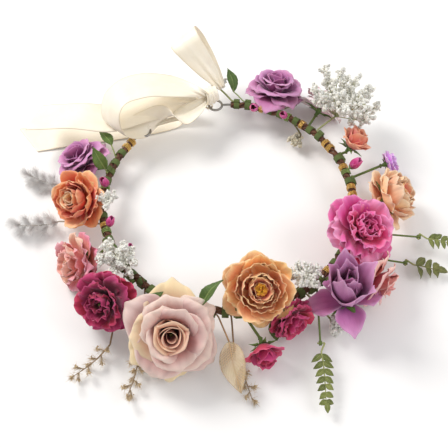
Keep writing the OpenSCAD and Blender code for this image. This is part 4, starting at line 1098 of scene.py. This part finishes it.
ribbon("ribbon_tail_lower_satin", E1, E2, "lower_tail", "ribbon_tail_lower", "laid", ["floor"], 156, seed=4, n=170, m=22, bulge=0.3,
       pleat=[(0, 0.9), (0.1, 0.5), (0.22, 0.05), (1, 0.0)])

# knot: one and a bit turns round the middle, gathered across
K = np.array([27, 93, 12.2])
a = np.radians(np.linspace(-150, 262, 60))
rad = np.linspace(5.7, 7.0, 60)
mid = np.stack([0.5 * np.sin(a * 0.9), np.cos(a) * rad, np.sin(a) * rad], -1)
w = 11.0 + 0.8 * np.sin(a * 2)
E1 = mid + np.array([1.0, 0, 0]) * w[:, None] / 2 + K
E2 = mid - np.array([1.0, 0, 0]) * w[:, None] / 2 + K
P, q, u = ribbon_grid(E1, E2, 150, 30, seed=5)
cen = P.mean(axis=1, keepdims=True)
rr = P - K - np.array([1.0, 0, 0]) * (P - K)[..., :1]
rn = rr / np.linalg.norm(rr, axis=-1, keepdims=True)
fold = 0.55 * np.sin(u * TAU * 3.2 + 0.5)[None, :] + 0.3 * np.sin(u * TAU * 5.3 + q[:, None] * 0.05) - 3.0 * (2 * u - 1)[None, :] ** 4 * 0.45
P = P + rn * fold[..., None]
V, Q = sheet_solid(P, 0.3)
d = lambda a_: np.concatenate([a_.ravel(), a_.ravel()])
G = Geo()
G.add(V, Q, su=d(np.broadcast_to(u[None, :] * CLOTH, P.shape[:2])), sv=d(np.broadcast_to(q[:, None], P.shape[:2])), pu=d(np.broadcast_to(u[None, :], P.shape[:2])), pr=0.7)
knot = G.obj("bow_knot_satin", satin.m, nodes=("bow_knot",), slot="satin")
qa, qb, qc, qd = P[:-1, :-1], P[1:, :-1], P[1:, 1:], P[:-1, 1:]
ka = (np.linalg.norm(np.cross(qb - qa, qc - qa), axis=-1).sum() + np.linalg.norm(np.cross(qc - qa, qd - qa), axis=-1).sum()) / 2
print("KNOT area", ka, "length", q[-1], "share of 18 mm cut", ka / (18 * q[-1]))


def band_ring(G, u, side):
    """The ribbon's turn through a wire eye, gathered narrow."""
    c = hoop(u) + 5.4 * np.array([-side * math.sin(math.radians(u)), side * math.cos(math.radians(u)), 0])
    R = rz(math.radians(u + 90))
    th = np.linspace(0, TAU, 48, endpoint=False)
    rows = []
    for k, v in enumerate(np.linspace(-1, 1, 13)):
        r = 3.05 + 0.28 * math.sin(v * 6) - 0.25 * v * v
        rows.append(np.stack([r * np.cos(th), 1.5 * v + 0 * th, r * np.sin(th)], -1))
    P = np.stack(rows, 1)
    P = np.concatenate([P, P[:1]], 0)
    P = P @ R.T + c
    V, Q = sheet_solid(P, 0.3)
    n = P.shape[0] * P.shape[1]
    uu = np.tile(np.linspace(0, 1, 13), P.shape[0])
    ss = np.repeat(np.linspace(0, 19, P.shape[0]), 13)
    G.add(V, Q, su=np.r_[uu, uu] * CLOTH, sv=np.r_[ss, ss], pu=np.r_[uu, uu], pr=0.5)


eL, eR = 118 - 7.2, 64 + 7.2
G = Geo()
band_ring(G, eL, -1)
q0 = hoop(eL) + 8.2 * np.array([math.sin(math.radians(eL)), -math.cos(math.radians(eL)), 0])
line = np.array([q0, (q0 + [2, 87, 5]) / 2 + [0, 0, 0.6], [2, 87, 5], [9, 90, 7.8], [16, 93, 9.6], [22, 93, 10.2]])
ww = np.array([2.6, 5.5, 6.5, 6.5, 5.5, 4.5])
dirs = np.array([0.3, 0.9, 0.0])
dirs = dirs / np.linalg.norm(dirs)
P, q, u = ribbon_grid(line + dirs * ww[:, None] / 2, line - dirs * ww[:, None] / 2, 90, 18, seed=6, pleat=[(0, 0.5), (0.5, 0.7), (1, 0.6)])
V, Q = sheet_solid(P, 0.3)
G.add(V, Q, su=d(np.broadcast_to(u[None, :] * CLOTH, P.shape[:2])), sv=d(np.broadcast_to(q[:, None], P.shape[:2])), pu=d(np.broadcast_to(u[None, :], P.shape[:2])), pr=0.8)
bl = G.obj("ribbon_band_left_satin", satin.m, nodes=("ribbon_band_left",), slot="satin")
G = Geo()
band_ring(G, eR, 1)
br = G.obj("ribbon_band_right_satin", satin.m, nodes=("ribbon_band_right",), slot="satin")

# ---------------------------------------------------------------- place, light and camera
floor_z = -22.1 * MM
me = bpy.data.meshes.new("floor")
S = 3.0
me.from_pydata([(-S, -S, floor_z), (S, -S, floor_z), (S, S, floor_z), (-S, S, floor_z)], [], [(0, 1, 2, 3)])
fl = bpy.data.objects.new("floor", me)
bpy.context.scene.collection.objects.link(fl)
fm = Mat("pale_table")
fm.set("Base Color", fm.mix(fm.noise(fm.obj(), 9.0), lin(247, 246, 245), lin(251, 250, 249))).set("Roughness", 0.9)
me.materials.append(fm.m)

world = bpy.data.worlds.new("soft_room")
bpy.context.scene.world = world
world.use_nodes = True
bg = next(n for n in world.node_tree.nodes if n.type == "BACKGROUND")
bg.inputs[0].default_value = (1.0, 1.0, 1.0, 1)
bg.inputs[1].default_value = 0.62


def area_light(name, loc, target, size, power, colour=(1, 1, 1)):
    ld = bpy.data.lights.new(name, "AREA")
    ld.shape, ld.size, ld.energy, ld.color = "DISK", size, power, colour
    ob = bpy.data.objects.new(name, ld)
    ob.location = loc
    ob.rotation_euler = (Vector(target) - Vector(loc)).to_track_quat("-Z", "Y").to_euler()
    bpy.context.scene.collection.objects.link(ob)


area_light("key_soft", (-0.35, 0.55, 0.75), (0, 0, 0), 0.45, 6.5, (1.0, 0.985, 0.96))
area_light("fill_soft", (0.6, -0.5, 0.7), (0, 0, 0), 0.6, 2.6, (0.97, 0.985, 1.0))

az, el, dist = math.radians(-25), math.radians(57), 0.562
back = Vector((math.sin(az) * math.cos(el), -math.cos(az) * math.cos(el), math.sin(el)))
cam = bpy.data.cameras.new("main_camera")
cam.lens, cam.sensor_width = 60, 36
co = bpy.data.objects.new("main_camera", cam)
target = Vector((-0.0128, -0.0198, 0))
co.location = target + back * dist
co.rotation_euler = back.to_track_quat("Z", "Y").to_euler()
bpy.context.scene.collection.objects.link(co)
bpy.context.scene.camera = co
bpy.context.scene.view_settings.view_transform = "Standard"
bpy.context.scene.view_settings.look = "None"
